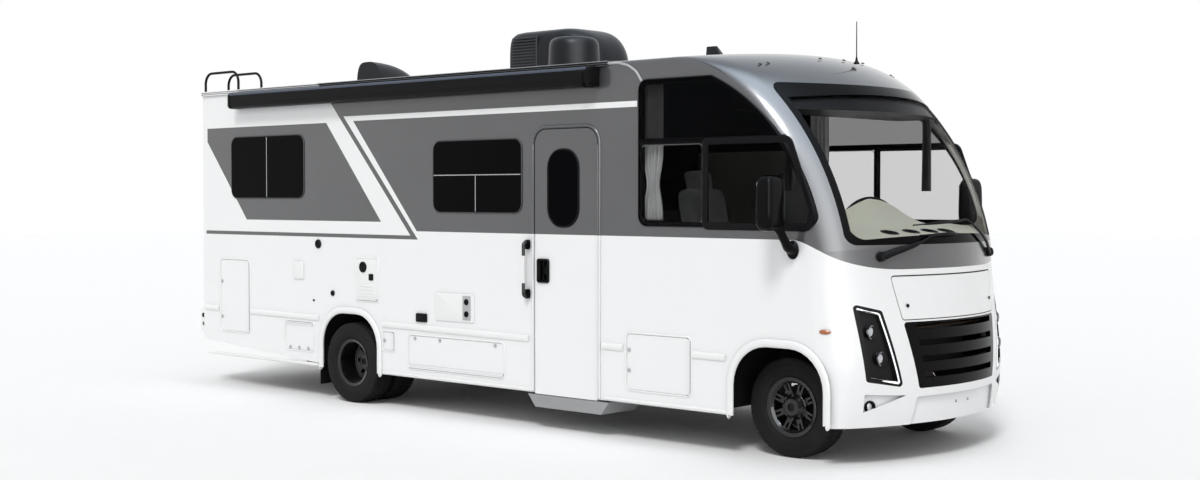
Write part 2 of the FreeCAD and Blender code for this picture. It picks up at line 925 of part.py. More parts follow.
floor_holes = [engine_hole, step_hole,
               rectangle(tall_low, tall_high, -half_width, -bay_edge, 0),
               rectangle(tall_low, tall_high, bay_edge, half_width, 0)]
part("house_floor", prism("floor_body", "XY_Plane", floor_outline, floor_foot, size.floor_top,
                          floor_holes))

# Front cap: a moulded shell whose front profile is carried across the width, drawn back with the
# bow of the nose, down with the crown of the roof, and round both corners to the sides
def fall(y, bow, width, corner):
    """How far a crowned and rounded surface has fallen away at a distance from the middle."""
    past = max(0.0, abs(y) - (width - corner))
    return y * y / (2 * bow) + corner - math.sqrt(max(0.0, corner * corner - past * past))


def nose_section(y, inset):
    """Closed front profile of the cap at one distance from the middle, moved in by an inset."""
    width = half_width - inset
    back = fall(y, size.nose_bow, width, size.corner_round - inset)
    down = fall(y, size.roof_bow, width, size.roof_round)
    middle = Vector(-size.glass_arc_back, 0, size.glass_arc_z)
    radius = size.glass_arc - inset

    def on_arc(z):
        return Vector(middle.x + math.sqrt(radius ** 2 - (z - middle.z) ** 2), 0, z)

    foot = on_arc(size.glass_foot_z)
    head = on_arc(size.glass_head_z)
    mid_glass = on_arc((size.glass_foot_z + size.glass_head_z) / 2)
    roof = size.roof_top - inset
    slope = math.acos((head.z - middle.z) / radius)
    brow = (roof - head.z) / (1 - math.cos(slope))
    brow_mid = Vector(head.x - brow * (math.sin(slope) - math.sin(slope / 2)), 0,
                      roof - brow * (1 - math.cos(slope / 2)))
    brow_end = Vector(head.x - brow * math.sin(slope), 0, roof)
    overrun = 0 if inset == 0 else size.cap_wall
    rear = back - size.cap_back - overrun
    base = down + size.nose_foot_z - overrun
    nose = size.nose_reach - inset
    spots = [Vector(nose - size.nose_foot_in, 0, base), Vector(nose, 0, size.bumper_z),
             Vector(nose - size.grille_top_in, 0, size.grille_top_z),
             Vector(nose - size.hood_top_in, 0, size.hood_top_z), foot]
    curve = Part.BSplineCurve()
    curve.interpolate(spots)
    corner = Vector(rear, 0, base)
    top = Vector(rear, 0, roof)
    edges = [curve.toShape(), Part.Arc(foot, mid_glass, head).toShape(),
             Part.Arc(head, brow_mid, brow_end).toShape(), Part.makeLine(brow_end, top),
             Part.makeLine(top, corner), Part.makeLine(corner, spots[0])]
    wire = Part.Wire(edges)
    wire.translate(Vector(-back, y, -down))
    return wire


def nose_solid(inset):
    """Solid inside the cap's outer surface moved in by an inset."""
    width = float(half_width - inset)
    corner = float(size.corner_round - inset)
    flat = width - corner
    spots = [0, flat * 0.35, flat * 0.7, flat]
    spots += [flat + corner * math.sin(math.radians(turn)) for turn in (18, 36, 52, 66, 79, 90)]
    stations = [-y for y in reversed(spots[1:])] + spots
    return Part.makeLoft([nose_section(y, float(inset)) for y in stations], True, False)


nose_outer = nose_solid(0)
nose_inner = nose_solid(size.cap_wall)
nose_glass = nose_solid(size.glass_thick)
nose_recess = nose_solid(size.recess_depth)
nose_grille = nose_solid(size.grille_depth)
nose_lamp = nose_solid(size.lamp_depth)
nose_dish = nose_solid(size.lamp_dish)
nose_hood = nose_solid(size.hood_skin)
nose_room = nose_solid(size.cap_wall + size.panel_gap)
nose_lining = nose_solid(size.wall)


def through_nose(corners):
    """Straight solid through the nose of an outline given as (y, z)."""
    return outline_prism(corners, "YZ_Plane", -float(size.console_back),
                         float(size.nose_reach + size.overrun))


def trapezoid(half_foot, half_top, foot, top, radius):
    """Symmetric outline, as (y, z)."""
    return [(-half_foot, foot, radius), (half_foot, foot, radius), (half_top, top, radius),
            (-half_top, top, radius)]


def shrunk(corners, gap):
    """A convex outline, given anticlockwise, with every side moved in by a gap."""
    spots = [Vector(float(u), float(v), 0) for u, v, radius in corners]
    moved = []
    for i, (u, v, radius) in enumerate(corners):
        ahead = (spots[(i + 1) % len(spots)] - spots[i]).normalize()
        behind = (spots[i] - spots[i - 1]).normalize()
        inward = Vector(-ahead.y, ahead.x, 0) + Vector(-behind.y, behind.x, 0)
        spot = spots[i] + inward * (gap / (1 + ahead.dot(behind)))
        moved.append((spot.x, spot.y, max(float(radius) - gap, 0.0)))
    return moved


glass_opening = rectangle(-size.glass_half, size.glass_half, size.glass_foot_z - size.glass_lap,
                          size.glass_head_z + size.glass_lap, size.glass_round)
hood_opening = trapezoid(size.hood_half_foot, size.hood_half_top,
                         size.grille_top_z + size.grille_round / 2, size.hood_top_z, size.hood_round)
grille_opening = trapezoid(size.grille_half_foot, size.grille_half_top, size.bumper_z,
                           size.grille_top_z, size.grille_round)
recess = trapezoid(size.recess_half_foot, size.recess_half_top, size.nose_foot_z - size.overrun,
                   size.recess_top_z, size.grille_round)


def lamp_outline(side):
    """Four-cornered outline of a headlamp on one side, anticlockwise."""
    corners = [(size.lamp_foot_in, size.lamp_foot_in_z), (size.lamp_foot_out, size.lamp_foot_out_z),
               (size.lamp_top_out, size.lamp_top_out_z), (size.lamp_top_in, size.lamp_top_in_z)]
    drawn = [(side * float(y), float(z), size.lamp_round) for y, z in corners]
    return drawn if side > 0 else drawn[::-1]


def fog_recess(side):
    """Three-cornered scoop in the bumper that tapers inwards from the fog lamp."""
    corners = [(size.fog_near_y, size.fog_near_z), (size.fog_far_y, size.fog_far_foot_z),
               (size.fog_far_y, size.fog_far_top_z)]
    drawn = [(side * float(y), float(z), 0) for y, z in corners]
    return drawn if side > 0 else drawn[::-1]


def side_prism(corners, low, high):
    """Straight solid across the vehicle of an outline given as (x, z)."""
    return outline_prism(corners, "XZ_Plane", float(low), float(high))


def front_cap_shape():
    """Cap shell with its openings, less the region of the side walls."""
    shell = nose_outer.cut(nose_inner)
    reach = float(size.body_width)
    rear = -size.cap_back - size.overrun
    walls = [(rear, 0, 0), (size.wall_front, 0, 0),
             (size.wall_front, size.wall_shoulder_z, 0), (-size.wall_corner, size.wall_corner_z, 0),
             (-size.cap_back, size.eaves_z, 0), (rear, size.eaves_z, 0)]
    tools = [side_prism(walls, -reach, reach), side_prism(cab_window, -reach, reach),
             side_prism(front_arch, -reach, reach), through_nose(glass_opening),
             through_nose(hood_opening), through_nose(grille_opening),
             through_nose(lamp_outline(1)), through_nose(lamp_outline(-1)),
             through_nose(recess).common(nose_outer.cut(nose_recess)),
             through_nose(fog_recess(1)).common(nose_outer.cut(nose_recess)),
             through_nose(fog_recess(-1)).common(nose_outer.cut(nose_recess))]
    for tool in tools:
        shell = shell.cut(tool)
    return shell


def layer(outline, inner):
    """Curved panel that fills an outline from the outer surface in to an inner one."""
    return through_nose(outline).common(nose_outer).cut(inner)


def grille_shape():
    """Grille panel with broad sides, a thin lintel and deep level slats."""
    panel = layer(grille_opening, nose_grille)
    inner = shrunk(grille_opening, float(size.grille_side))
    foot, top = float(size.bumper_z), float(size.grille_top_z - size.grille_lintel)
    inner = [(y, foot if i < 2 else top, 0) for i, (y, z, radius) in enumerate(inner)]
    count = int(size.slat_count)
    opening = (top - foot) / count - float(size.slat)
    for i in range(count):
        low = foot + i * (opening + float(size.slat)) + float(size.slat)
        band = [(-float(half_width), low, 0), (float(half_width), low, 0),
                (float(half_width), low + opening, 0), (-float(half_width), low + opening, 0)]
        panel = panel.cut(through_nose(inner).common(through_nose(band)))
    return panel


def headlamp_shape(side):
    """Lamp housing with a sunk dish and two round projectors in it."""
    outline = lamp_outline(side)
    housing = layer(outline, nose_lamp)
    dish = layer(shrunk(outline, float(size.lamp_bezel)), nose_dish)
    housing = housing.cut(dish)
    for y, z in ((size.projector_high_y, size.projector_high_z),
                 (size.projector_low_y, size.projector_low_z)):
        start = Vector(0, side * float(y), float(z))
        lamp = Part.makeCylinder(float(size.projector), float(size.nose_reach), start, Vector(1, 0, 0))
        housing = housing.fuse(lamp.common(nose_glass).cut(nose_lamp))
    return housing.removeSplitter()


def along_y(radius, x, z, low, high):
    """Round bar across the vehicle between two levels of y."""
    return Part.makeCylinder(radius, high - low, Vector(x, low, z), Vector(0, 1, 0))


def hood_pins():
    """Pin of each hood arm, held by a lug on the inside of the cap."""
    x, z, half = float(size.hood_pivot_x), float(size.hood_pivot_z), float(size.hood_arm_half)
    pin, barrel = float(size.hood_pin), float(size.hood_barrel)
    shapes = []
    for side in (1, -1):
        y = side * float(size.hood_arm_y)
        inner = y - side * (half + float(size.panel_gap) + pin)
        shapes.append(along_y(pin, x, z, min(inner, y + side * half), max(inner, y + side * half)))
        lug = Part.makeBox(float(size.nose_reach), pin, barrel * 2,
                           Vector(x - barrel, min(inner, inner + side * pin), z - barrel))
        shapes.append(lug.common(nose_outer))
    return shapes


def hood_shape():
    """Thin curved panel with two hooked arms that reach round the edge of the cap to their pins."""
    gap = float(size.panel_gap)
    opening = shrunk(hood_opening, gap)
    drop = float(size.hood_top_gap) - gap
    opening = opening[:2] + [(y, z - drop, radius) for y, z, radius in opening[2:]]
    panel = layer(opening, nose_hood)
    x, z, half = float(size.hood_pivot_x), float(size.hood_pivot_z), float(size.hood_arm_half)
    reach, barrel = float(size.hood_arm_reach), float(size.hood_barrel)
    pivot = Vector(x, 0, z)
    foot_turn, elbow_turn = -float(size.hood_arm_foot_turn), -float(size.hood_arm_elbow_turn)
    level_turn, end_turn = -float(size.hood_arm_level_turn), -float(size.hood_arm_end_turn)
    root_turn = -float(size.hood_arm_root_turn)

    def around(degrees, radius):
        turn = math.radians(degrees)
        return pivot + Vector(math.cos(turn), 0, math.sin(turn)) * radius

    for side in (1, -1):
        y = side * float(size.hood_arm_y)
        outer = [pivot + Vector(0, 0, -barrel / 2), around(foot_turn, reach + barrel / 2),
                 around(elbow_turn, reach + barrel), around(level_turn, reach + barrel),
                 around(end_turn, reach * 1.5)]
        inner = [around(end_turn, reach * 1.5) + Vector(0, 0, barrel), around(level_turn, reach),
                 around(elbow_turn, reach), around(root_turn, reach - barrel),
                 pivot + Vector(barrel / 2, 0, 0)]
        face = Part.Face(Part.makePolygon(outer + inner + [outer[0]]))
        arm = face.extrude(Vector(0, half * 2, 0))
        arm.translate(Vector(0, y - half, 0))
        arm = arm.common(nose_outer).fuse(along_y(barrel, x, z, y - half, y + half))
        bore = along_y(float(size.hood_pin + size.hinge_clear), x, z, y - barrel * 2, y + barrel * 2)
        panel = panel.fuse(arm.cut(bore))
    return panel.removeSplitter()


cap_shape = front_cap_shape()
for lug in hood_pins():
    cap_shape = cap_shape.fuse(lug)
part("front_cap", solid("front_cap_body", cap_shape))
part("windscreen", solid("windscreen_body", layer(glass_opening, nose_glass)))
part("hood_panel", solid("hood_body", hood_shape()))
part("grille", solid("grille_body", grille_shape()))
part("headlamps", group("headlamps_body", [solid("lamp_left", headlamp_shape(1)),
                                           solid("lamp_right", headlamp_shape(-1))]))


# Side windows: a frame with bars, rebated at its outer edge for a pane that lies flush over it
def slab(corners, near, far, side):
    """Straight solid of an outline between two distances from the middle, on one side."""
    return side_prism(corners, near, far) if side > 0 else side_prism(corners, -far, -near)


pane_out = half_width + size.frame_proud
pane_seat = pane_out - size.pane - size.hinge_clear


def window_frame(corners, bars, side):
    """Frame in an opening, with bars behind the pane given as (x, z) boxes."""
    inner = pane_out - size.frame_depth
    ring = slab(corners, inner, pane_out, side)
    ring = ring.cut(slab(shrunk(corners, float(size.frame_width)), inner, pane_out, side))
    ring = ring.cut(slab(shrunk(corners, float(size.frame_rim)), pane_seat, pane_out, side))
    for left, right, foot, top in bars:
        low = float(inner if side > 0 else -pane_seat)
        bar = Part.makeBox(right - left, float(pane_seat - inner), top - foot, Vector(left, low, foot))
        ring = ring.fuse(bar.common(slab(corners, inner, pane_out, side)))
    return ring.removeSplitter()


def window_pane(corners, side):
    """Flush glass in the rebate of a frame."""
    outline = shrunk(corners, float(size.frame_rim + size.hinge_clear))
    return slab(outline, pane_out - size.pane, pane_out, side)


def upright(x, foot, top):
    """Vertical bar of a window."""
    return (float(x - size.bar_width / 2), float(x + size.bar_width / 2), float(foot), float(top))


def crossbar(z, left, right):
    """Level bar of a window."""
    return (float(left), float(right), float(z - size.bar_width / 2), float(z + size.bar_width / 2))


rear_middle = -(size.rear_window_front + size.rear_window_back) / 2
mid_middle = -(size.mid_window_front + size.mid_window_back) / 2
mid_level = (size.mid_window_foot + size.mid_window_top) / 2
window_bars = [
    (rear_window, [upright(rear_middle, size.rear_window_foot, size.rear_window_top)]),
    (mid_window, [crossbar(mid_level, -size.mid_window_back, -size.mid_window_front),
                  upright(mid_middle, size.mid_window_foot, mid_level)]),
    (cab_window, [crossbar(size.cab_window_bar_z, -size.cab_window_back, size.cab_window_front),
                  upright(-size.cab_window_slide, size.cab_window_foot, size.cab_window_bar_z)]),
]
frames = []
panes = []
for side in (1, -1):
    for i, (corners, bars) in enumerate(window_bars):
        frames.append(solid(f"frame_{i}_{'left' if side > 0 else 'right'}",
                            window_frame(corners, bars, side)))
        panes.append(solid(f"pane_{i}_{'left' if side > 0 else 'right'}",
                           window_pane(corners, side)))
part("window_frames", group("window_frames_group", frames))
part("window_glass", group("window_glass_group", panes))

# Tyres: a rounded section turned about the axle, two side by side behind
tyre_half = size.tyre_width / 2
heel = size.rim_half - size.hinge_clear
seat_radius, lip_radius = size.bead_radius + size.hinge_clear, size.flange_radius + size.hinge_clear
tyre_section = [(-heel, lip_radius, 0), (-heel, seat_radius, 0), (heel, seat_radius, 0), (heel, lip_radius, 0),
                (tyre_half, size.bead_radius + size.rim_half, size.rim_half),
                (tyre_half - size.rim_skin, size.tyre_radius, size.rim_skin * 3),
                (-tyre_half + size.rim_skin, size.tyre_radius, size.rim_skin * 3),
                (-tyre_half, size.bead_radius + size.rim_half, size.rim_half)]

# Rims: the front one has a spoked disc near its outer flange, the rear pair is bolted back to back


def rim_sections():
    """Outlines (y, radius) of the front rim and of the joined pair of rear rims, y outboard."""
    half, skin = size.rim_half, size.rim_skin
    bead, flange, face = size.bead_radius, size.flange_radius, size.disc_out
    inside = bead - skin
    front = [(-half, inside, 0), (face - size.disc_skin, inside, 0),
             (face - size.disc_skin, size.window_foot, skin), (-size.hub_back, size.hub_radius, 0),
             (-size.hub_back, size.hub_bore, 0), (size.hub_out, size.hub_bore, 0),
             (size.hub_out, size.hub_radius, 0), (face, size.window_foot, skin),
             (face + size.disc_skin, size.window_top, skin), (half, inside, 0),
             (half + skin, flange, 0), (half, flange, 0), (half, bead, 0), (-half, bead, 0),
             (-half, flange, 0), (-half - skin, flange, 0)]
    shift = (size.dual_outer - size.dual_inner) / 2
    near, far = shift - half, shift + half
    web = size.disc_skin
    rear = [(-far, inside, 0), (-near + skin, inside, 0), (-web / 2, size.window_foot, skin),
            (-web / 2, size.hub_radius, 0), (-size.hub_out, size.hub_radius, 0),
            (-size.hub_out, size.hub_bore, 0), (size.hub_out, size.hub_bore, 0),
            (size.hub_out, size.hub_radius, 0), (web / 2, size.hub_radius, 0),
            (web / 2, size.window_foot, skin), (near - skin, inside, 0), (far, inside, 0),
            (far + skin, flange, 0), (far, flange, 0), (far, bead, 0), (near, bead, 0),
            (near, flange, 0), (near - skin, flange, 0), (near - skin * 2, bead, 0),
            (web * 0, size.window_foot + web * 1.5, 0), (-near + skin * 2, bead, 0),
            (-near + skin, flange, 0), (-near, flange, 0),
            (-near, bead, 0), (-far, bead, 0), (-far, flange, 0), (-far - skin, flange, 0)]
    return front, rear


def add_pattern(body, feature, name, count):
    """Repeat a feature about the body's Y axis."""
    doc.recompute()
    pattern = body.newObject("PartDesign::PolarPattern", name)
    pattern.Originals = [feature]
    axis = next(axis for axis in body.Origin.OriginFeatures if axis.Role == "Y_Axis")
    pattern.Axis = (axis, [""])
    pattern.Angle = 360
    pattern.Occurrences = int(count)
    body.Tip = pattern
    return pattern


def pocket_through(body, corners, name, degrees=0):
    """Pocket an outline (x, z), turned about the axle, through the whole wheel."""
    sketch = new_sketch(body, "XZ_Plane", name + "_outline")
    sketch.AttachmentOffset = FreeCAD.Placement(Vector(), Rotation(Vector(0, 0, 1), degrees))
    draw_outline(sketch, corners)
    pocket = body.newObject("PartDesign::Pocket", name)
    pocket.Profile = sketch
    pocket.Type = "ThroughAll"
    pocket.SideType = "Symmetric"
    return pocket


def lug_ring(body, name, low, high):
    """Ring of lug nuts between two levels of y."""
    sketch = new_sketch(body, "XZ_Plane", name + "_outline")
    sketch.AttachmentOffset = FreeCAD.Placement(Vector(0, 0, -low), Rotation())
    circle = sketch.addGeometry(Part.Circle(Vector(0, size.lug_circle / 2, 0), Vector(0, 0, 1),
                                            float(size.lug_radius)))
    tie_point(sketch, circle, 3, size.lug_circle * 0, size.lug_circle / 2)
    bound = sketch.addConstraint(Sketcher.Constraint("Radius", circle, float(size.lug_radius)))
    sketch.setExpression(f"Constraints[{bound}]", written(size.lug_radius))
    pad = body.newObject("PartDesign::Pad", name)
    pad.Profile = sketch
    pad.setExpression("Length", written(high - low))
    pad.Reversed = True
    return pad


front_rim_outline, rear_rim_outline = rim_sections()
spoke_window = [(-size.window_half_foot, size.window_foot, size.rim_skin / 2),
                (size.window_half_foot, size.window_foot, size.rim_skin / 2),
                (size.window_half_top, size.window_top, size.rim_skin),
                (-size.window_half_top, size.window_top, size.rim_skin)]
spoke_slit = [(-size.slit_half, size.slit_foot, 0), (size.slit_half, size.slit_foot, 0),
              (size.slit_half * 2, size.window_top, size.slit_half),
              (-size.slit_half * 2, size.window_top, size.slit_half)]
hand_hole = rectangle(-size.hand_hole, size.hand_hole, size.hand_circle - size.hand_hole,
                      size.hand_circle + size.hand_hole, size.hand_hole - size.rim_skin / 2)


def front_rim(name, x, y, degrees):
    """Front rim with windows between its spokes, each spoke split by a slit, and its lugs."""
    body = revolved(name, front_rim_outline, degrees, x, y, wheel_z)
    add_pattern(body, pocket_through(body, spoke_window, name + "_window"), name + "_windows",
                size.spoke_count)
    half_pitch = 180 / int(size.spoke_count)
    add_pattern(body, pocket_through(body, spoke_slit, name + "_slit", half_pitch), name + "_slits",
                size.spoke_count)
    lugs = lug_ring(body, name + "_lug", size.disc_out - size.disc_skin, size.disc_out + size.lug_out)
    add_pattern(body, lugs, name + "_lugs", size.spoke_count)
    return body


def rear_rim(name, x, y, degrees):
    """Pair of rear rims bolted back to back, with round hand holes and lugs."""
    body = revolved(name, rear_rim_outline, degrees, x, y, wheel_z)
    add_pattern(body, pocket_through(body, hand_hole, name + "_hole"), name + "_holes",
                size.spoke_count)
    lugs = lug_ring(body, name + "_lug", 0, size.disc_skin / 2 + size.lug_out)
    add_pattern(body, lugs, name + "_lugs", size.spoke_count)
    return body


dual_middle = (size.dual_outer + size.dual_inner) / 2
for word, side in (("left", 1), ("right", -1)):
    turn = 0 if side > 0 else 180
    part(f"tyre_front_{word}", revolved(f"tyre_front_{word}_body", tyre_section, turn, 0,
                                        size.front_track_half * side, wheel_z))
    twins = [revolved(f"tyre_{word}_{i}", tyre_section, turn, rear_x, y * side, wheel_z)
             for i, y in enumerate((size.dual_outer, size.dual_inner))]
    part(f"tyres_rear_{word}", group(f"tyres_rear_{word}_pair", twins))
    part(f"rim_front_{word}", front_rim(f"rim_front_{word}_body", 0, size.front_track_half * side, turn))
    part(f"rims_rear_{word}", rear_rim(f"rims_rear_{word}_body", rear_x, dual_middle * side, turn))


# Knuckles: a forked upright on the kingpin, with the spindle and the brake disc
def knuckle(word, side):
    """Steering knuckle of one side."""
    def across(name, radius, near, far, x=0, z=wheel_z):
        start = near * side if side > 0 else -far
        return rod(f"{name}_{word}", radius, far - near, "y", x, start, z)

    boss_top, boss_foot = wheel_z + size.boss_half, wheel_z - size.boss_half
    ears = []
    for level, foot in (("upper", boss_top + size.ear_gap), ("lower", boss_foot - size.ear_gap - size.ear)):
        low, high = size.kingpin_y - size.ear_half, size.brake_y
        y_pair = (low, high) if side > 0 else (-high, -low)
        ears.append(block(f"ear_{level}_{word}", (-size.ear_half, size.ear_half), y_pair,
                          (foot, foot + size.ear)))
    reach = size.boss_half + size.ear_gap + size.ear
    pin = rod(f"kingpin_{word}", size.kingpin, reach * 2, "z", 0, size.kingpin_y * side, wheel_z - reach)
    spindle_end = size.front_track_half + size.hub_out - size.rim_skin
    disc = across("brake_disc", size.brake_radius, size.brake_y, size.brake_y + size.brake_thick / 2)
    spindle = across("spindle", size.spindle, size.brake_y, spindle_end)
    return fuse(f"knuckle_{word}_body", ears + [pin, disc, spindle])


part("knuckle_left", knuckle("left", 1))
part("knuckle_right", knuckle("right", -1))

# Front axle: a dropped beam with a bored boss for each kingpin, and a pad under each coil
beam_top = wheel_z + size.beam_depth / 2 - size.beam_drop
beam = block("axle_beam", (-size.beam_half, size.beam_half), (-size.kingpin_y, size.kingpin_y),
             (beam_top - size.beam_depth, beam_top))
bosses = [rod(f"boss_{word}", size.kingpin_boss, size.boss_half * 2, "z", 0, size.kingpin_y * side,
              wheel_z - size.boss_half) for word, side in (("left", 1), ("right", -1))]
bores = [rod(f"boss_bore_{word}", size.kingpin_bore, size.boss_half * 4, "z", 0,
             size.kingpin_y * side, wheel_z - size.boss_half * 2)
         for word, side in (("left", 1), ("right", -1))]
seats = [rod(f"coil_seat_{word}", size.coil_radius + size.coil_wire, size.coil_seat, "z", 0,
             size.coil_y * side, beam_top - size.coil_seat) for word, side in (("left", 1), ("right", -1))]
part("front_axle", cut("front_axle_body", fuse("front_axle_blank", [beam] + bosses + seats), bores))

# Rear axle: tube, differential and the spindles that carry the twin wheels, with the driveshaft
tube_end = size.axle_tube_end
rear_tube = rod("axle_tube", size.axle_tube, tube_end * 2, "y", rear_x, -tube_end, wheel_z)
stub_end = dual_middle + size.hub_out - size.rim_skin
rear_stub = rod("axle_stub", size.spindle, stub_end * 2, "y", rear_x, -stub_end, wheel_z)
differential = rod("differential", size.diff_radius, size.diff_length, "y", rear_x,
                   -size.diff_length / 2, wheel_z)
shaft_start = Vector(-size.shaft_front, 0, size.shaft_front_z)
shaft_end = Vector(rear_x + size.diff_radius / 2, 0, wheel_z)
driveshaft = solid("driveshaft_body", Part.makeCylinder(float(size.shaft_radius),
                                                        (shaft_end - shaft_start).Length,
                                                        shaft_start, shaft_end - shaft_start))
pads = [block(f"leaf_pad_{word}", (rear_x - size.leaf_pad, rear_x + size.leaf_pad),
              (size.leaf_y * side - size.leaf_width / 2, size.leaf_y * side + size.leaf_width / 2),
              (wheel_z, wheel_z + size.axle_tube)) for word, side in (("left", 1), ("right", -1))]
part("rear_axle", fuse("rear_axle_body", [rear_tube, rear_stub, differential, driveshaft] + pads))


# Springs: coils in front, leaf packs behind
def coil(side):
    """Coil spring between the beam and the frame."""
    foot, top = float(beam_top) + float(size.coil_wire), float(size.rail_top - size.rail_depth / 2)
    pitch = (top - foot - float(size.coil_wire)) / float(size.coil_turns)
    helix = Part.makeHelix(pitch, top - foot - float(size.coil_wire), float(size.coil_radius))
    ring = Part.Wire(Part.makeCircle(float(size.coil_wire), Vector(float(size.coil_radius), 0, 0),
                                     Vector(0, 1, 0)))
    spring = Part.Wire(helix).makePipeShell([ring], True, True)
    spring.translate(Vector(0, side * float(size.coil_y), foot))
    return spring


def leaf_pack(side):
    """Bowed leaf pack, each leaf shorter than the one above it."""
    pack = None
    for i in range(int(size.leaf_count)):
        half = float(size.leaf_half) * (1 - 0.2 * i)
        rise = float(size.leaf_rise) * (1 - 0.2 * i) ** 2
        low = float(wheel_z + size.axle_tube) + float(size.leaf_thick) * (size.leaf_count - 1 - i)
        thick = Vector(0, 0, float(size.leaf_thick))
        left, mid, right = (Vector(-half, 0, low + rise), Vector(0, 0, low), Vector(half, 0, low + rise))
        lower = Part.Arc(left, mid, right).toShape()
        upper = Part.Arc(left + thick, mid + thick, right + thick).toShape()
        ends = [Part.makeLine(left, left + thick), Part.makeLine(right, right + thick)]
        face = Part.Face(Part.Wire(Part.sortEdges([lower, upper] + ends)[0]))
        leaf = face.extrude(Vector(0, float(size.leaf_width), 0))
        pack = leaf if pack is None else pack.fuse(leaf)
    pack.translate(Vector(float(rear_x), side * float(size.leaf_y) - float(size.leaf_width) / 2, 0))
    return pack.removeSplitter()


springs = [solid("coil_left", coil(1)), solid("coil_right", coil(-1)),
           solid("leaf_left", leaf_pack(1)), solid("leaf_right", leaf_pack(-1))]
part("springs", group("springs_group", springs))

# Ladder frame: two channel rails, crossmembers bolted on them that carry the floor, and spring seats
rail_foot = size.rail_top - size.rail_depth
rail_web, flange_edge = size.rail_out - size.rail_metal, size.rail_out - size.rail_flange
channel = [(flange_edge, rail_foot, 0), (size.rail_out, rail_foot, 0),
           (size.rail_out, size.rail_top, 0), (flange_edge, size.rail_top, 0),
           (flange_edge, size.rail_top - size.rail_metal, 0),
           (rail_web, size.rail_top - size.rail_metal, 0),
           (rail_web, rail_foot + size.rail_metal, 0),
           (flange_edge, rail_foot + size.rail_metal, 0)]
rail_left = prism("rail_left", "YZ_Plane", channel, -size.rail_tail, size.rail_front)
rail_right = mirrored("rail_right", rail_left)
joist_foot = size.rail_top + size.hinge_clear
between_flanges = (rail_foot + size.rail_metal + size.hinge_clear,
                   size.rail_top - size.rail_metal - size.hinge_clear)
crossmembers = []
for i in range(int(size.cross_count)):
    x = -size.cross_front - size.cross_step * i
    crossmembers.append(block(f"joist_{i}", (x, x + size.cross_width), (-inner_y, inner_y),
                              (joist_foot, floor_foot)))
crossmembers.append(block("toe_joist", (size.rail_front - size.cross_width, size.rail_front),
                          (-size.rail_out, size.rail_out), (joist_foot, floor_foot)))
tie_reach = rail_web - size.hinge_clear
crossmembers.append(block("tie_front", (size.rail_front - size.cross_width, size.rail_front),
                          (-tie_reach, tie_reach), between_flanges))
tail_tie_reach = flange_edge - size.hinge_clear
crossmembers.append(block("tie_tail", (-size.rail_tail, -size.rail_tail + size.cross_width),
                          (-tail_tie_reach, tail_tie_reach),
                          (rail_foot - size.receiver_drop, size.rail_top - size.rail_metal)))
towers = []
for word, side in (("left", 1), ("right", -1)):
    near, far = size.rail_out + size.hinge_clear, size.coil_y + size.coil_radius + size.coil_wire
    y_pair = (near, far) if side > 0 else (-far, -near)
    reach = size.coil_radius + size.coil_wire
    towers.append(block(f"coil_tower_{word}", (-reach, reach), y_pair,
                        (size.rail_top - size.rail_depth / 2, size.rail_top)))
    far = size.leaf_y + size.leaf_width / 2
    y_pair = (near, far) if side > 0 else (-far, -near)
    leaf_end = wheel_z + size.axle_tube + size.leaf_thick * size.leaf_count + size.leaf_rise
    for end, x in (("front", rear_x + size.leaf_half - size.hanger_length),
                   ("back", rear_x - size.leaf_half)):
        towers.append(block(f"spring_hanger_{end}_{word}", (x, x + size.hanger_length), y_pair,
                            (leaf_end, size.rail_top - size.rail_metal)))
    near, far = size.engine_half, rail_web - size.hinge_clear
    y_pair = (near, far) if side > 0 else (-far, -near)
    towers.append(block(f"engine_mount_{word}", (-size.mount_half, size.mount_half), y_pair,
                        between_flanges))
part("frame_rails", group("frame_body", [rail_left, rail_right] + crossmembers + towers))


# Wheel arch liners
def liner(name, centre, room, top, inner, side):
    """Arched liner over a wheel, from the wall inwards."""
    def shape(extra):
        return [(centre - room - extra, size.sill_z + size.slope_sill_z - size.sill_z, 0),
                (centre + room + extra, size.sill_z + size.slope_sill_z - size.sill_z, 0),
                (centre + room + extra, top + extra, size.arch_round + extra),
                (centre - room - extra, top + extra, size.arch_round + extra)]

    low, high = (inner, inner_y) if side > 0 else (-inner_y, -inner)
    shell = prism(name, "XZ_Plane", shape(size.liner), low, high)
    room_body = prism(name + "_room", "XZ_Plane", shape(size.liner * 0), low - size.wall,
                      high + size.wall)
    return cut(name + "_cut", shell, [room_body])


liners = []
for word, side in (("left", 1), ("right", -1)):
    arched = liner(f"liner_front_{word}", size.liner * 0, size.liner_room, size.liner_top,
                   size.front_liner_inner, side)
    liners.append(common(f"liner_front_{word}_trim", arched, solid(f"cap_lining_{word}", nose_lining)))
    liners.append(liner(f"liner_rear_{word}", rear_x + size.rear_arch_shift, size.arch_half,
                        size.arch_top, size.liner_inner, side))
    low, high = (size.liner_inner, inner_y) if side > 0 else (-inner_y, -size.liner_inner)
    liners.append(block(f"mud_flap_{word}", (-size.flap_x - size.flap_thick, -size.flap_x), (low, high),
                        (size.flap_foot, size.slope_sill_z + size.flap_hold)))
part("wheel_liners", group("wheel_liners_group", liners))


# Storage bays behind the hatches: five-sided boxes open to the wall
def bay(name, outline, inner, side):
    """Box behind a hatch opening, open at the wall."""
    (left, foot, radius), (right, top, _) = outline[0], outline[2]
    lip, thick = size.bay_lip, size.bay_skin
    y_out = (inner - thick, inner_y) if side > 0 else (-inner_y, -inner + thick)
    y_in = (inner, half_width) if side > 0 else (-half_width, -inner)
    outer = block(name, (left - lip - thick, right + lip + thick), y_out,
                  (foot - lip - thick, top + lip + thick))
    room = block(name + "_room", (left - lip, right + lip), y_in, (foot - lip, top + lip))
    return cut(name + "_cut", outer, [room])


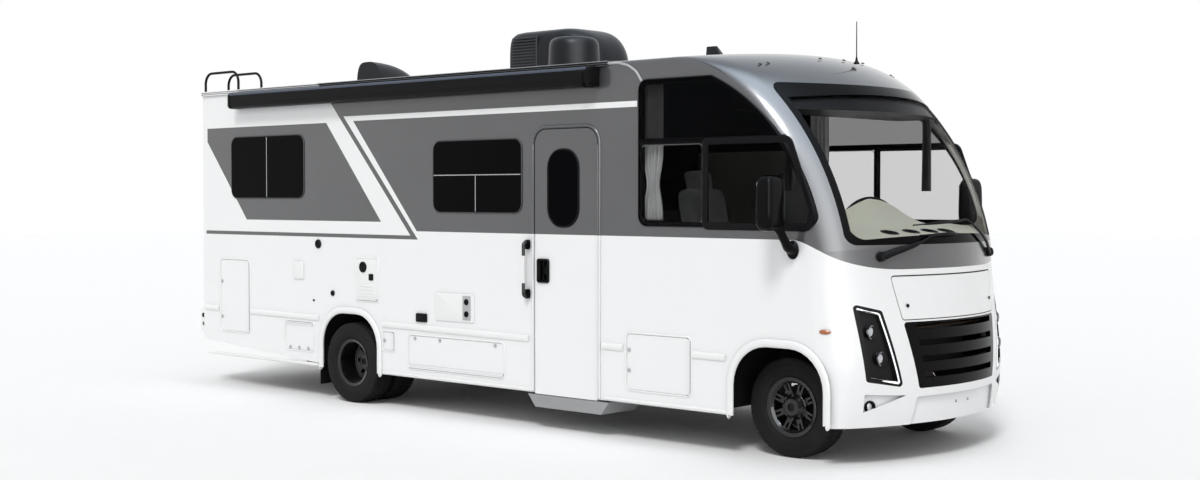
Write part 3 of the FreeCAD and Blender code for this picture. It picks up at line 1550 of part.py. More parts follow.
part("storage_bays_right", group("storage_bays_right_group", [
    bay("tall_bay_right", tall_hatch, size.bay_inner, -1),
    bay("low_bay_right", low_hatch, size.low_bay_inner, -1),
    bay("long_bay_right", long_hatch, size.bay_inner, -1),
    bay("front_bay_right", big_hatch, size.bay_inner, -1),
    bay("fuel_bay", fuel_flap, size.fuel_inner, -1),
    bay("heater_bay", heater_door, size.heater_inner, -1)]))
part("storage_bays_left", group("storage_bays_left_group", [
    bay("tall_bay_left", tall_hatch, size.bay_inner, 1),
    bay("long_bay_left", long_hatch, size.bay_inner, 1),
    bay("front_bay_left", big_hatch, size.bay_inner, 1)]))

# Entry steps: a box under the skirt with sloped ends, and two steps up to the floor
step_top = size.door_foot - size.panel_gap
step_outline = [(-size.step_back, step_top, 0),
                (-size.step_back + size.step_slope, size.step_foot, 0),
                (-size.step_front - size.step_slope, size.step_foot, 0),
                (-size.step_front, step_top, 0)]
step_box = prism("step_box", "XZ_Plane", step_outline, -half_width, -size.step_depth)
well = block("step_well", (leaf_back, leaf_front), (-inner_y, -size.step_depth),
             (step_top, size.floor_top))
tread_skin = size.step_skin
step_room = block("step_room", (leaf_back + tread_skin, leaf_front - tread_skin),
                  (-half_width + tread_skin, -size.tread_depth),
                  (size.step_foot + tread_skin, size.floor_top * 2))
tread_room = block("tread_room", (leaf_back + tread_skin, leaf_front - tread_skin),
                   (-half_width, -size.step_depth - tread_skin), (size.tread_z, size.floor_top * 2))
part("entry_steps", cut("entry_steps_body", fuse("step_blank", [step_box, well]),
                        [step_room, tread_room]))

# Rear bumper, receiver and lamps
bumper_outline = [(-size.tail_reach, -size.bumper_half, size.bumper_round),
                  (tail_x, -size.bumper_half, 0), (tail_x, size.bumper_half, 0),
                  (-size.tail_reach, size.bumper_half, size.bumper_round)]
part("rear_bumper", prism("bumper_body", "XY_Plane", bumper_outline, size.bumper_foot, size.bumper_top))
tube_back = -size.tail_reach + size.receiver_pin_in
receiver = block("receiver_tube", (tube_back, tube_back + size.receiver_length),
                 (-size.receiver_half, size.receiver_half),
                 (size.receiver_z - size.receiver_half, size.receiver_z + size.receiver_half))
receiver_room = block("receiver_room", (tube_back - size.wall, tube_back + size.receiver_length),
                      (-size.receiver_bore, size.receiver_bore),
                      (size.receiver_z - size.receiver_bore, size.receiver_z + size.receiver_bore))
pin_hole = rod("receiver_pin_hole", size.receiver_pin, size.receiver_half * 4, "y",
               tube_back + size.receiver_pin_in, -size.receiver_half * 2, size.receiver_z)
hanger = block("receiver_hanger", (-size.rail_tail, -size.rail_tail + size.cross_width),
               (-size.receiver_half * 3, size.receiver_half * 3),
               (size.receiver_z + size.receiver_half, rail_foot - size.receiver_drop))
part("hitch_receiver", cut("receiver_body", fuse("receiver_blank", [receiver, hanger]),
                           [receiver_room, pin_hole]))
lamps = []
for word, side in (("left", 1), ("right", -1)):
    middle = size.tail_lamp_y * side
    lamps.append(block(f"tail_lamp_{word}", (tail_x - size.tail_lamp_out, tail_x),
                       (middle - size.tail_lamp_half, middle + size.tail_lamp_half),
                       (size.tail_lamp_z - size.tail_lamp_tall, size.tail_lamp_z + size.tail_lamp_tall)))
part("tail_lamps", group("tail_lamps_group", lamps))

# Awning cassette along the right eaves
awning_section = [(-half_width - size.awning_out, size.awning_foot, size.awning_round),
                  (-half_width, size.awning_foot, 0), (-half_width, size.awning_top, 0),
                  (-half_width - size.awning_out, size.awning_top, size.awning_round)]
part("awning_cassette", prism("awning_body", "YZ_Plane", awning_section, -size.awning_back,
                              -size.awning_front))

# Roof equipment: air conditioner with a louvred tail and a rounded nose, a round fan dome, a vent
# hood with an arched tail end that falls to its nose, and an aerial fin
roof_seat = size.roof_top - size.roof_sink
ac_section = [(-size.ac_back, roof_seat, 0), (-size.ac_front, roof_seat, 0),
              (-size.ac_front - size.ac_round, size.ac_top - size.ac_nose_drop, size.ac_brow),
              (-size.ac_crest, size.ac_top, size.ac_brow * 2),
              (-size.ac_back + size.ac_round, size.ac_top - size.ac_tail_drop, size.ac_round)]
ac_plan = [(-size.ac_back, -size.ac_half, size.ac_round), (-size.ac_front, -size.ac_half, size.ac_brow),
           (-size.ac_front, size.ac_half, size.ac_brow), (-size.ac_back, size.ac_half, size.ac_round)]
ac_blank = common("ac_blank", prism("ac_body", "XZ_Plane", ac_section, -size.ac_half, size.ac_half),
                  prism("ac_bounds", "XY_Plane", ac_plan, roof_seat, size.ac_top))
slots = []
for i in range(int(size.louvre_count)):
    z_pair = (size.louvre_foot + size.louvre_step * i,
              size.louvre_foot + size.louvre_step * i + size.louvre)
    for word, side in (("left", 1), ("right", -1)):
        near, far = size.ac_half - size.louvre_depth, size.ac_half + size.louvre_depth
        y_pair = (near, far) if side > 0 else (-far, -near)
        slots.append(block(f"louvre_{word}_{i}", (-size.ac_back + size.louvre_end + size.ac_round,
                                                  -size.louvre_front), y_pair, z_pair))


def fan_dome():
    """Round dome with tapered sides and a rounded rim."""
    rise = float(size.fan_top - roof_seat)
    dome = Part.makeCone(float(size.fan_half), float(size.fan_half - size.fan_taper), rise,
                         Vector(-float(size.fan_x), -float(size.fan_y), float(roof_seat)))
    rim = [edge for edge in dome.Edges if edge.BoundBox.ZMin > float(size.fan_top - size.fan_round)]
    return dome.makeFillet(float(size.fan_round), rim[:1])


def vent_arch(share):
    """Arched section of the vent hood, at a share of its length from the tail."""
    x = -float(size.wedge_back) + share * float(size.wedge_back - size.wedge_front)
    y, foot = -float(size.wedge_y), float(roof_seat)
    half = float(size.wedge_half) - share ** 2 * float(size.wedge_half - size.wedge_nose)
    top = float(size.wedge_top) - share ** 2 * float(size.wedge_top - size.roof_top - size.wedge_lip)
    sill = (foot + top) / 2
    left, right = Vector(x, y - half, foot), Vector(x, y + half, foot)
    arc = Part.Arc(Vector(x, y + half, sill), Vector(x, y, top), Vector(x, y - half, sill)).toShape()
    return Part.Wire([Part.makeLine(left, right), Part.makeLine(right, Vector(x, y + half, sill)), arc,
                      Part.makeLine(Vector(x, y - half, sill), left)])


fan = solid("fan_body", fan_dome())
wedge = solid("vent_hood_body", Part.makeLoft([vent_arch(share) for share in (0, 1 / 2, 1)], True, False))
fin_section = [(-size.fin_back, roof_seat, 0), (-size.fin_front, roof_seat, 0),
               (-size.fin_back + size.roof_round, size.fin_top, size.fin_half / 2),
               (-size.fin_back, size.fin_top, 0)]
fin = prism("fin_body", "XZ_Plane", fin_section, -size.fin_y - size.fin_half, -size.fin_y + size.fin_half)
nose_tool = solid("cap_outer", nose_outer)
part("air_conditioner", cut("ac_cut", ac_blank, slots + [
    prism("roof_tool", "YZ_Plane", roof_section, tail_x, -size.cap_back)]))
part("roof_vents", cut("vents_cut", group("vents_blank", [fan, wedge, fin]),
                       [prism("vent_roof_tool", "YZ_Plane", roof_section, tail_x, -size.cap_back),
                        nose_tool]))


# Ladder on the rear wall, with hoops over the edge of the roof
def ladder_rail(y):
    """One rail, bent over the eaves and down to the roof."""
    x = -float(size.house_tail + size.ladder_off)
    roof_z = float(size.roof_edge)
    return bent_tube([(x, y, float(size.ladder_foot)), (x, y, float(size.ladder_top)),
                      (-float(size.ladder_reach), y, float(size.ladder_top)),
                      (-float(size.ladder_reach), y, roof_z)],
                     float(size.ladder_tube), float(size.ladder_bend))


rails = [solid("ladder_rail_out", ladder_rail(-float(size.ladder_out))),
         solid("ladder_rail_in", ladder_rail(-float(size.ladder_in)))]
rungs = []
for i in range(int(size.rung_count)):
    z = size.rung_first + size.rung_step * i
    rungs.append(rod(f"rung_{i}", size.ladder_tube, size.ladder_out - size.ladder_in, "y",
                     -size.house_tail - size.ladder_off, -size.ladder_out, z))
    for word, y in (("out", -size.ladder_out), ("in", -size.ladder_in)):
        rungs.append(rod(f"standoff_{word}_{i}", size.ladder_tube, size.ladder_off, "x",
                         -size.house_tail - size.ladder_off, y, z))
part("ladder", cut("ladder_cut", fuse("ladder_body", rails + rungs), [
    prism("ladder_roof_tool", "YZ_Plane", roof_section, tail_x, -size.cap_back)]))


# Assist handle beside the entry door
def handle_shape():
    """Bar held off the wall by its bent ends."""
    x, wall_y = -float(size.handle_x), -float(half_width)
    out = wall_y - float(size.handle_out)
    low, high = float(size.handle_low), float(size.handle_high)
    return bent_tube([(x, wall_y, low), (x, out, low), (x, out, high), (x, wall_y, high)],
                     float(size.handle_tube), float(size.handle_tube) * 2)


part("assist_handle", solid("handle_body", handle_shape()))


# Mirrors: a tall rounded head on a bent arm
def mirror_shape(side):
    """Mirror head and arm of one side."""
    y, base = float(size.mirror_y), float(half_width)
    low, high = float(size.mirror_low), float(size.mirror_high)
    half, deep, x = float(size.mirror_half), float(size.mirror_deep), float(size.mirror_x)
    head = Part.makeBox(deep, half * 2, high - low, Vector(x - deep / 2, y - half, low))
    head = head.makeFillet(float(size.mirror_round), head.Edges)
    foot = Vector(float(size.mirror_base_x), base - float(size.mirror_plate), float(size.mirror_base_z))
    tube, plate_thick = float(size.mirror_arm), float(size.mirror_plate)
    elbow = (foot.x, base + float(size.mirror_arm_out), foot.z)
    arm = bent_tube([tuple(foot), elbow, (x, y, low + tube)], tube, tube * 2)
    shape = head.fuse(arm).removeSplitter()
    plate = Part.makeCylinder(float(size.mirror_round), plate_thick, Vector(foot.x, base, foot.z),
                              Vector(0, 1, 0))
    shape = shape.fuse(plate).cut(nose_outer)
    return shape if side > 0 else shape.mirror(Vector(), Vector(0, 1, 0))


part("mirrors", group("mirrors_group", [solid("mirror_left", mirror_shape(1)),
                                        solid("mirror_right", mirror_shape(-1))]))


# Wipers: two arms that lie along the foot of the windscreen
def wiper_shape(y, reach):
    """Arm from its pivot at the foot of the glass, following the bow of the nose."""
    out, rise = float(size.wiper_out), float(size.wiper_rise)
    spots = []
    for share, lift in ((0, -float(size.wiper_drop)), (1 / 8, rise / 5), (1 / 2, rise * 2 / 3), (1, rise)):
        far = float(y) + float(reach) * share
        z = float(size.wiper_z) + lift
        front = math.sqrt(float(size.glass_arc) ** 2 - (z - float(size.glass_arc_z)) ** 2)
        x = front - float(size.glass_arc_back) - fall(far, size.nose_bow, half_width, size.corner_round)
        spots.append((x + out, far, z))
    arm = bent_tube(spots, float(size.wiper_arm), float(size.wiper_arm) * 3)
    start = Vector(spots[0][0] - out * 2, spots[0][1], spots[0][2])
    pivot = Part.makeCylinder(float(size.wiper_pivot), out * 2 + float(size.wiper_arm), start,
                              Vector(1, 0, 0))
    return arm.fuse(pivot).cut(nose_outer).removeSplitter()


part("wipers", group("wipers_group", [
    solid("wiper_right", wiper_shape(-size.wiper_right_y, size.wiper_right_reach)),
    solid("wiper_left", wiper_shape(size.wiper_left_y, size.wiper_left_reach))]))


def column_end():
    """Centre of the steering wheel and the direction of its column, up and back."""
    tilt = math.radians(float(size.wheel_tilt))
    return (Vector(-float(size.wheel_x), float(size.seat_y), float(size.wheel_z)),
            Vector(-math.sin(tilt), 0, math.cos(tilt)))


# Dash with the engine cover, fitted to the inside of the nose
def dash_shape():
    """Dash and cowl with the engine cover behind it, hollow over the engine."""
    width, nose = float(half_width), float(size.nose_reach)
    top, foot, back = float(size.dash_top), float(size.floor_top), -float(size.dash_back)
    front, cowl = float(size.dash_front), float(size.dash_top - size.cowl)
    ledge, edge = front - float(size.dash_ledge), float(size.dash_round)
    profile = [(back, float(size.dash_foot), edge), (float(size.dash_toe), foot, 0), (front, foot, 0),
               (front, cowl, 0), (nose, cowl, 0), (nose, top, 0), (ledge, top, edge),
               (back, top - float(size.dash_fall), edge)]
    body = side_prism(profile, -width, width)
    half, skin = float(size.console_half), float(size.console_skin)
    console = -float(size.console_back)
    cover = Part.makeBox(front - console, half * 2, float(size.console_top) - foot,
                         Vector(console, -half, foot))
    room = Part.makeBox(front - console, (half - skin) * 2, float(size.console_top) - skin - foot,
                        Vector(console + skin, -half + skin, foot))
    middle, axis = column_end()
    column = Part.makeCylinder(float(size.column), float(size.column_length),
                               middle - axis * (size.hub_back_depth + size.hinge_clear), -axis)
    return body.fuse(cover).cut(room).common(nose_room).fuse(column).removeSplitter()


part("dash", solid("dash_body", dash_shape()))


def header_shape():
    """Overhead locker behind the head of the windscreen."""
    back, front = -float(size.header_back), float(size.header_front)
    foot, top = float(size.header_foot), float(size.eaves_z)
    profile = [(back, foot, 0), (front, foot, 0), (front, top, 0), (back, top, 0)]
    return side_prism(profile, -inner_y, inner_y).common(nose_inner)


part("overhead_locker", solid("header_body", header_shape()))


# Cab seats: pedestal, cushion and leaning back with a headrest
def seat(word, side):
    """Seat of one side."""
    y = size.seat_y * side
    half = size.seat_width / 2
    front, back = -size.seat_front, -size.seat_front - size.seat_length
    low = size.seat_top - size.seat_thick
    cushion = prism(f"cushion_{word}", "XZ_Plane",
                    [(back, low, 0), (front, low, size.seat_thick / 3),
                     (front, size.seat_top, size.seat_thick / 3), (back, size.seat_top, 0)],
                    y - half, y + half)
    rest = [(back - size.back_thick, low, size.seat_thick / 4), (back, low, 0), (back, size.seat_top, 0),
            (back - size.back_lean, size.back_top, size.back_thick / 3),
            (back - size.back_lean - size.back_thick, size.back_top, size.back_thick / 3)]
    backrest = prism(f"backrest_{word}", "XZ_Plane", rest, y - half, y + half)
    leg = size.pedestal_half
    middle = (front + back) / 2
    pedestal = block(f"pedestal_{word}", (middle - leg, middle + leg), (y - leg, y + leg),
                     (size.floor_top, low))
    return fuse(f"seat_{word}_body", [cushion, backrest, pedestal])


part("cab_seats", group("cab_seats_group", [seat("left", 1), seat("right", -1)]))


# Steering wheel on its column
def steering_shape():
    """Ring, spokes and hub square to the tilted column."""
    ring = Part.makeTorus(float(size.wheel_ring), float(size.wheel_grip))
    hub = Part.makeCylinder(float(size.hub_half), float(size.hub_thick),
                            Vector(0, 0, -float(size.hub_back_depth)))
    shape = ring.fuse(hub)
    for degrees in (0, 180, 270):
        width, thick = float(size.spoke_width), float(size.spoke_thick)
        spoke = Part.makeBox(float(size.wheel_ring), width, thick, Vector(0, -width / 2, -thick / 2))
        spoke.rotate(Vector(), Vector(0, 0, 1), degrees)
        shape = shape.fuse(spoke)
    return shape.removeSplitter()


wheel_middle, _ = column_end()
ring_shape = steering_shape()
ring_shape.rotate(Vector(), Vector(0, 1, 0), -float(size.wheel_tilt))
ring_shape.translate(wheel_middle)
part("steering_wheel", solid("steering_wheel_body", ring_shape))

# Bench behind the driver, curtains beside the cab windows and the windscreen
bench = [(-size.bench_back, size.floor_top, 0), (-size.bench_front, size.floor_top, 0),
         (-size.bench_front, size.bench_top, size.roof_round),
         (-size.bench_back + size.bench_back_thick, size.bench_top, 0),
         (-size.bench_back + size.bench_back_thick, size.bench_back_top, size.roof_round),
         (-size.bench_back, size.bench_back_top, size.roof_round)]
part("bench", prism("bench_body", "XZ_Plane", bench, size.bench_inner, inner_y - size.panel_gap))
curtains = []
for word, side in (("left", 1), ("right", -1)):
    far = inner_y - size.hinge_clear
    near = far - size.curtain_thick
    y_pair = (near, far) if side > 0 else (-far, -near)
    back = -size.cab_window_back
    curtains.append(block(f"side_curtain_{word}", (back, back + size.curtain_width), y_pair,
                          (size.cab_window_foot, size.cab_window_top)))
    near, far = size.screen_curtain_inner, size.screen_curtain_inner + size.screen_curtain_wide
    y_pair = (near, far) if side > 0 else (-far, -near)
    front = size.screen_curtain_front
    curtains.append(block(f"screen_curtain_{word}", (front - size.screen_curtain_deep, front), y_pair,
                          (size.screen_curtain_foot, size.header_foot - size.hinge_clear)))
part("curtains", group("curtains_group", curtains))

# Engine, tanks and exhaust
part("engine", block("engine_block", (-size.engine_back, size.engine_front),
                     (-size.engine_half, size.engine_half), (size.engine_foot, size.engine_top)))
fuel_tank = block("fuel_tank", (-size.fuel_tank_back, -size.fuel_tank_front),
                  (-size.fuel_tank_half, size.fuel_tank_half),
                  (size.fuel_tank_foot, size.rail_top))
water_tank = block("water_tank", (-size.water_tank_back, -size.water_tank_front),
                   (size.water_tank_inner, size.water_tank_outer), (size.water_tank_foot, size.rail_top))
part("tanks", group("tanks_group", [fuel_tank, water_tank]))


def exhaust_shape():
    """Pipe from the engine under the floor to an outlet behind the rear wheel, with its muffler."""
    y, z, turn = -float(size.pipe_y), float(size.pipe_z), -float(size.pipe_turn)
    pipe = bent_tube([(-float(size.engine_back), y, z), (turn, y, z),
                      (turn, -float(size.leaf_y + size.pipe_bend), float(size.pipe_end_z)),
                      (turn, -float(size.pipe_end_y), float(size.pipe_end_z))],
                     float(size.pipe), float(size.pipe_bend))
    muffler = Part.makeCylinder(float(size.muffler), float(size.muffler_back - size.muffler_front),
                                Vector(-float(size.muffler_back), y, z), Vector(1, 0, 0))
    shape = pipe.fuse(muffler)
    for x in (-size.cross_front - size.cross_step * 2, -size.cross_front - size.cross_step * 3):
        shape = shape.fuse(Part.makeCylinder(float(size.pipe_hanger), float(size.rail_top) - z,
                                             Vector(x + size.cross_width / 2, y, z)))
    return shape.removeSplitter()


part("exhaust", solid("exhaust_body", exhaust_shape()))

doc.recompute()
for item in doc.Objects:
    if "Invalid" in item.State or "Error" in item.State:
        raise RuntimeError(f"{item.Name} failed: {item.State}")
for name, item in parts.items():
    if item.Shape.isNull() or not item.Shape.isValid():
        raise RuntimeError(f"{name} has no valid shape")
os.makedirs("parts", exist_ok=True)
for name, item in parts.items():
    item.Shape.exportStep(f"parts/{name}.step")
print(len(parts), "sub-parts written")
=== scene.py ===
import bmesh
import bpy
import math
import numpy as np
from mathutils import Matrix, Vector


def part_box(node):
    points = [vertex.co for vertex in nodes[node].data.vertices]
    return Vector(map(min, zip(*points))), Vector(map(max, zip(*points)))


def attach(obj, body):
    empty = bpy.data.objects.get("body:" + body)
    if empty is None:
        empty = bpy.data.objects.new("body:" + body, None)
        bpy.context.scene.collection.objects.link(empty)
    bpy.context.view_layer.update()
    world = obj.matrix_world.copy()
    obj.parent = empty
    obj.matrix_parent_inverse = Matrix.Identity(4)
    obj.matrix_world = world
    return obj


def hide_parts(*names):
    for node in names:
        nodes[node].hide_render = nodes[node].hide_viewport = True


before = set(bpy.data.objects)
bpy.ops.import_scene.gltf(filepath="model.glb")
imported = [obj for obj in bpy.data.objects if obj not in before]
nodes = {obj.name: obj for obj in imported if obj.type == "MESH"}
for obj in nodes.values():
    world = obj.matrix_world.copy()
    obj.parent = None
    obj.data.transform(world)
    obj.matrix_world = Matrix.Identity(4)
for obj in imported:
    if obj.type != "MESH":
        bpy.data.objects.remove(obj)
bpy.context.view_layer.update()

# Studio: a pale floor under even soft light, with one broad lamp high in front of the kerb side and a
# tall soft strip ahead of the kerb side that only gloss reflects. The camera stands where the
# photographer stood, a little above the belt line.
hub_low, hub_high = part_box("rim_front_right")
axle = (hub_low[0] + hub_high[0]) / 2

camera_data = bpy.data.cameras.new("camera")
camera_data.lens = 47.0
camera_data.sensor_width = 36.0
camera = bpy.data.objects.new("camera", camera_data)
camera.location = (axle + 6.679, -10.418, 1.928)
camera.rotation_euler = (math.radians(90 - 1.62), 0, math.radians(42.25))
bpy.context.collection.objects.link(camera)
bpy.context.scene.camera = camera
bpy.context.scene.view_settings.view_transform = "Standard"


class Wire:
    """A shader socket that adds its own Math nodes when it stands in an expression.

    A comparison goes from 0 to 1 within a couple of millimetres: one over its sharpness.
    """

    sharp = 500.0

    def __init__(self, socket):
        self.socket = socket

    def node(self, kind, settings, values, output=0):
        """Any other node: its type, its settings, the values or wires of its sockets, one output."""
        made = self.socket.id_data.nodes.new("ShaderNode" + kind)
        for setting, value in settings.items():
            setattr(made, setting, value)
        for key, value in values.items():
            self.put(made.inputs[key], value)
        return Wire(made.outputs[output])

    def put(self, socket, value):
        """Sets a socket to a plain value, or links a wire to it."""
        if isinstance(value, Wire):
            self.socket.id_data.links.new(value.socket, socket)
        else:
            socket.default_value = value

    def maths(self, operation, *others, clamp=False):
        settings = {"operation": operation, "use_clamp": clamp}
        return self.node("Math", settings, dict(enumerate((self,) + others)))

    def __add__(self, other):
        return self.maths("ADD", other)

    def __sub__(self, other):
        return self.maths("SUBTRACT", other)

    def __rsub__(self, other):
        return self.node("Math", {"operation": "SUBTRACT"}, {0: other, 1: self})

    def __mul__(self, other):
        return self.maths("MULTIPLY", other)

    def __pow__(self, other):
        return self.maths("POWER", other)

    def __abs__(self):
        return self.maths("ABSOLUTE")

    def __gt__(self, other):
        return (self - other).maths("MULTIPLY_ADD", Wire.sharp, 0.5, clamp=True)

    def __lt__(self, other):
        return (self - other).maths("MULTIPLY_ADD", -Wire.sharp, 0.5, clamp=True)

    def __and__(self, other):
        return self.maths("MINIMUM", other)

    def __or__(self, other):
        return self.maths("MAXIMUM", other)

    def mix(self, dark, light, blend="MIX"):
        """A colour that goes from dark to light, wires or (r, g, b), as this wire goes from 0 to 1."""
        dark, light = (tone if isinstance(tone, Wire) else (*tone, 1.0) for tone in (dark, light))
        return self.node("Mix", {"data_type": "RGBA", "blend_type": blend}, {0: self, 6: dark, 7: light}, 2)

    def parts(self):
        """The x, y and z of a vector, as three wires."""
        return [Wire(socket) for socket in self.node("SeparateXYZ", {}, {0: self}).socket.node.outputs]

    def eased(self, start, end, top=1.0):
        """0 to top as this wire goes from start to end, with a smooth step."""
        return self.node("MapRange", {"interpolation_type": "SMOOTHSTEP"},
                         {"Value": self, "From Min": start, "From Max": end, "To Max": top})

    __radd__ = __add__
    __rmul__ = __mul__


world = bpy.data.worlds.new("studio")
bpy.context.scene.world = world
world.use_nodes = True
light_path = world.node_tree.nodes.new("ShaderNodeLightPath")
on_camera, glossy, through = (Wire(light_path.outputs[f"Is {kind} Ray"])
                              for kind in ("Camera", "Glossy", "Transmission"))
seen = on_camera | glossy | through
ambient, backdrop, strip_gain = 0.62, 1.0, 5.0
world_shader = world.node_tree.nodes["Background"]
sky_x, sky_y, sky_z = Wire(world.node_tree.nodes.new("ShaderNodeTexCoord").outputs["Generated"]).parts()
strip_x, strip_y = 0.829, -0.559
aside, toward = abs(sky_y * strip_x - sky_x * strip_y), sky_x * strip_x + sky_y * strip_y
strip = aside.eased(0.76, 0.10) * toward.eased(-0.3, 0.2)
blue = glossy * (sky_z | 0.0) ** 2
blue.put(world_shader.inputs["Color"], blue.mix((1.0, 1.0, 1.0), (0.72, 0.85, 1.0)))
seen.put(world_shader.inputs["Strength"],
         seen * (backdrop - ambient) + ambient + glossy * strip * strip_gain)

lamp_data = bpy.data.lights.new("high_lamp", "SUN")
lamp_data.energy = 1.5
lamp_data.angle = math.radians(14)
lamp = bpy.data.objects.new("high_lamp", lamp_data)
lamp.rotation_euler = (math.radians(38), math.radians(10), math.radians(14))
bpy.context.collection.objects.link(lamp)


def new_finish(name, fixed):
    """Material with a Principled shader set to fixed values: material, shader, Object coordinates."""
    made = bpy.data.materials.new(name)
    made.use_nodes = True
    shader = made.node_tree.nodes["Principled BSDF"]
    for socket, value in fixed.items():
        shader.inputs[socket].default_value = value
    coordinates = made.node_tree.nodes.new("ShaderNodeTexCoord")
    return made, shader, Wire(coordinates.outputs["Object"])


def noise(where, scale, detail=3.0):
    """Soft random pattern between 0 and 1, with a given number of cells per metre."""
    return where.node("TexNoise", {}, {"Vector": where, "Scale": scale, "Detail": detail})


def bumped(where, height, distance, strength=0.5):
    """Normal of a surface raised by height times a distance in metres."""
    return where.node("Bump", {}, {"Height": height, "Distance": distance, "Strength": strength})


floor_finish, floor_shader, where = new_finish("studio_floor", {"Roughness": 0.9})
where.put(floor_shader.inputs["Base Color"],
          (noise(where, 3.0) * 0.02 + 0.97).mix((0, 0, 0), (0.93, 0.93, 0.93)))
floor_data = bpy.data.meshes.new("floor")
floor_data.from_pydata([(-60, -60, 0), (60, -60, 0), (60, 60, 0), (-60, 60, 0)], [], [(0, 1, 2, 3)])
floor_data.materials.append(floor_finish)
floor = bpy.data.objects.new("floor", floor_data)
bpy.context.collection.objects.link(floor)

# Painted shell: laminated walls, hatches, door and moulded cap in one gloss white and one warm grey.
# The grey field, its slanted stripe and the thin lines are masked and sprayed, the same both sides.
wall_low, wall_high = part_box("right_wall")
half = -wall_low[1]
wall_thick = wall_high[1] - wall_low[1]
belt_z, belt_drop, drop_start, drop_run = 1.611, 0.213, 0.15, 0.57
line_foot, line_head, cab_paint_end = 2.620, 2.666, -1.31
stripe_half, thin_foot, thin_head, thin_end = 0.034, 1.537, 1.572, -7.18
rear_field_foot, rear_field_head, rear_field_end = 1.69, 2.615, -7.15
roof_edge, roof_foot, roof_front = 0.035, 2.96, -1.605
# Slanted edges of the paint: station and height of a point on each, and its slant.
panel_edge, stripe_edge = (-3.904, belt_z, -0.878), (-3.935, 1.55, -0.923)
rear_head_edge, rear_foot_edge = (-5.191, 2.616, -0.861), (-6.476, 1.696, -0.861)
cap_sweep, cap_camber = 3.9, 24
corner_from, corner_reach, corner_round = 1.044, 0.1495, 0.15
screen_arc, brow_arc, brow_start, cap_skin = (-1.355, 1.168, 2.197), (-0.508, 2.114, 0.929), 2.756, 0.012
white_paint, grey_paint = (0.84, 0.845, 0.85), (0.088, 0.089, 0.092)
lining_tone, dark_lining = (0.52, 0.5, 0.44), (0.016, 0.015, 0.014)


def livery(where):
    """Mask of the grey paint, from the station along the side and the height."""
    x, y, z = where.parts()
    x = x - axle
    from_panel, from_stripe, from_rear_head, from_rear_foot = (
        x - ((z - level) * slant + station)
        for station, level, slant in (panel_edge, stripe_edge, rear_head_edge, rear_foot_edge))
    above_belt = (z + ((x - drop_start) * (1 / drop_run)).eased(0.0, 1.0, belt_drop)) > belt_z
    field = (from_panel > 0) & above_belt & (z < line_foot)
    upper = (from_stripe > -stripe_half) & (z > line_head)
    forward = (x > cab_paint_end) & above_belt
    stripe = (abs(from_stripe) < stripe_half) & (z > thin_foot) & (z < line_head + 0.03)
    thin = (from_stripe < stripe_half) & (z > thin_foot) & (z < thin_head) & (x > thin_end)
    rear = (from_rear_head < 0) & (from_rear_foot > 0) & (x > rear_field_end)
    rear = rear & (z > rear_field_foot) & (z < rear_field_head)
    roof_top = (abs(y) < half - roof_edge) & (z > roof_foot) & (x < roof_front)
    return (field | upper | forward | stripe | thin | rear) & (1 - roof_top), x, y, z


def cap_inside(x, y, z):
    """Mask of the cap's inner face: inside the arcs of its outline drawn in by its skin."""
    past = (abs(y) - corner_from | 0.0) & corner_reach
    back = y * y * (1 / cap_sweep) + corner_round - (corner_round ** 2 - past * past).maths("SQRT")
    level = z + y * y * (1 / cap_camber)
    station = x + back
    within = [(station - middle_x | 0.0) ** 2 + (level - middle_z) ** 2 < (radius - cap_skin) ** 2
              for middle_x, middle_z, radius in (screen_arc, brow_arc)]
    arcs = within[0] & (level < brow_start) | within[1] & (level > brow_start)
    return arcs & (level > 1.60) & (level < 3.031)


def painted(name, lined):
    """Gloss shell paint with a faint orange peel, painted shade in its creases and a thin film of
    dust low down. A lined wall or cap also has an inner lining that turns dark towards the ceiling."""
    made, shader, where = new_finish(name, {"Coat Roughness": 0.06, "Specular IOR Level": 0.4})
    mask, x, y, z = livery(where)
    cloud = noise(where, 2.2, 4.0)
    dust = noise(where, 9.0, 5.0) * ((0.9 - z) * 0.5 | 0.0)
    white = (cloud * 0.3 + dust).mix(white_paint, [v * 0.982 for v in white_paint])
    grey = cloud.mix([v * 0.93 for v in grey_paint], [v * 1.1 for v in grey_paint])
    colour = mask.mix(white, grey)
    if lined:
        in_cap = lined == "cap"
        inside = abs(y) < half - (cap_skin if in_cap else wall_thick * 0.6)
        if in_cap:
            inside = inside & cap_inside(x, y, z)
        colour = inside.mix(colour, (z > (2.52 if in_cap else 2.33)).mix(lining_tone, dark_lining))
    # Ambient occlusion darkens the colour in creases and recesses: painted shade, not grime.
    crease = where.node("AmbientOcclusion", {"samples": 8}, {"Distance": 0.07}, 1)
    where.put(shader.inputs["Base Color"],
              ((1 - crease) * 1.15).mix(colour, (0.32, 0.33, 0.35), "MULTIPLY"))
    where.put(shader.inputs["Roughness"], cloud * 0.02 + dust * 0.06 + 0.25)
    where.put(shader.inputs["Metallic"], mask * 0.30)
    where.put(shader.inputs["Coat Weight"], mask * 0.45 + 0.25)
    where.put(shader.inputs["Normal"], bumped(where, noise(where, 260.0, 2.0), 0.0004, 0.12))
    return made


def dress(finish, *names):
    """Gives CAD nodes a material."""
    for name in names:
        for slot in nodes[name].material_slots:
            slot.material = finish


shell_paint = painted("shell_paint", lined=None)
dress(painted("wall_paint", lined="wall"), "right_wall", "left_wall", "entry_door")
dress(painted("cap_paint", lined="cap"), "front_cap")
dress(shell_paint, "rear_wall", "roof_panel", "hood_panel", "rear_bumper",
      "tall_hatch_right", "low_hatch_right", "long_hatch_right", "front_hatch_right", "fuel_door",
      "heater_door", "tall_hatch_left", "long_hatch_left", "front_hatch_left")

# Raised mouldings of the walls: a slim rounded frame round each hatch, the half-round rub rail, and
# the flared lips of the wheel arches. All are white gelcoat, bonded to the wall and on both sides.
sides = ((-1, "right"), (1, "left"))


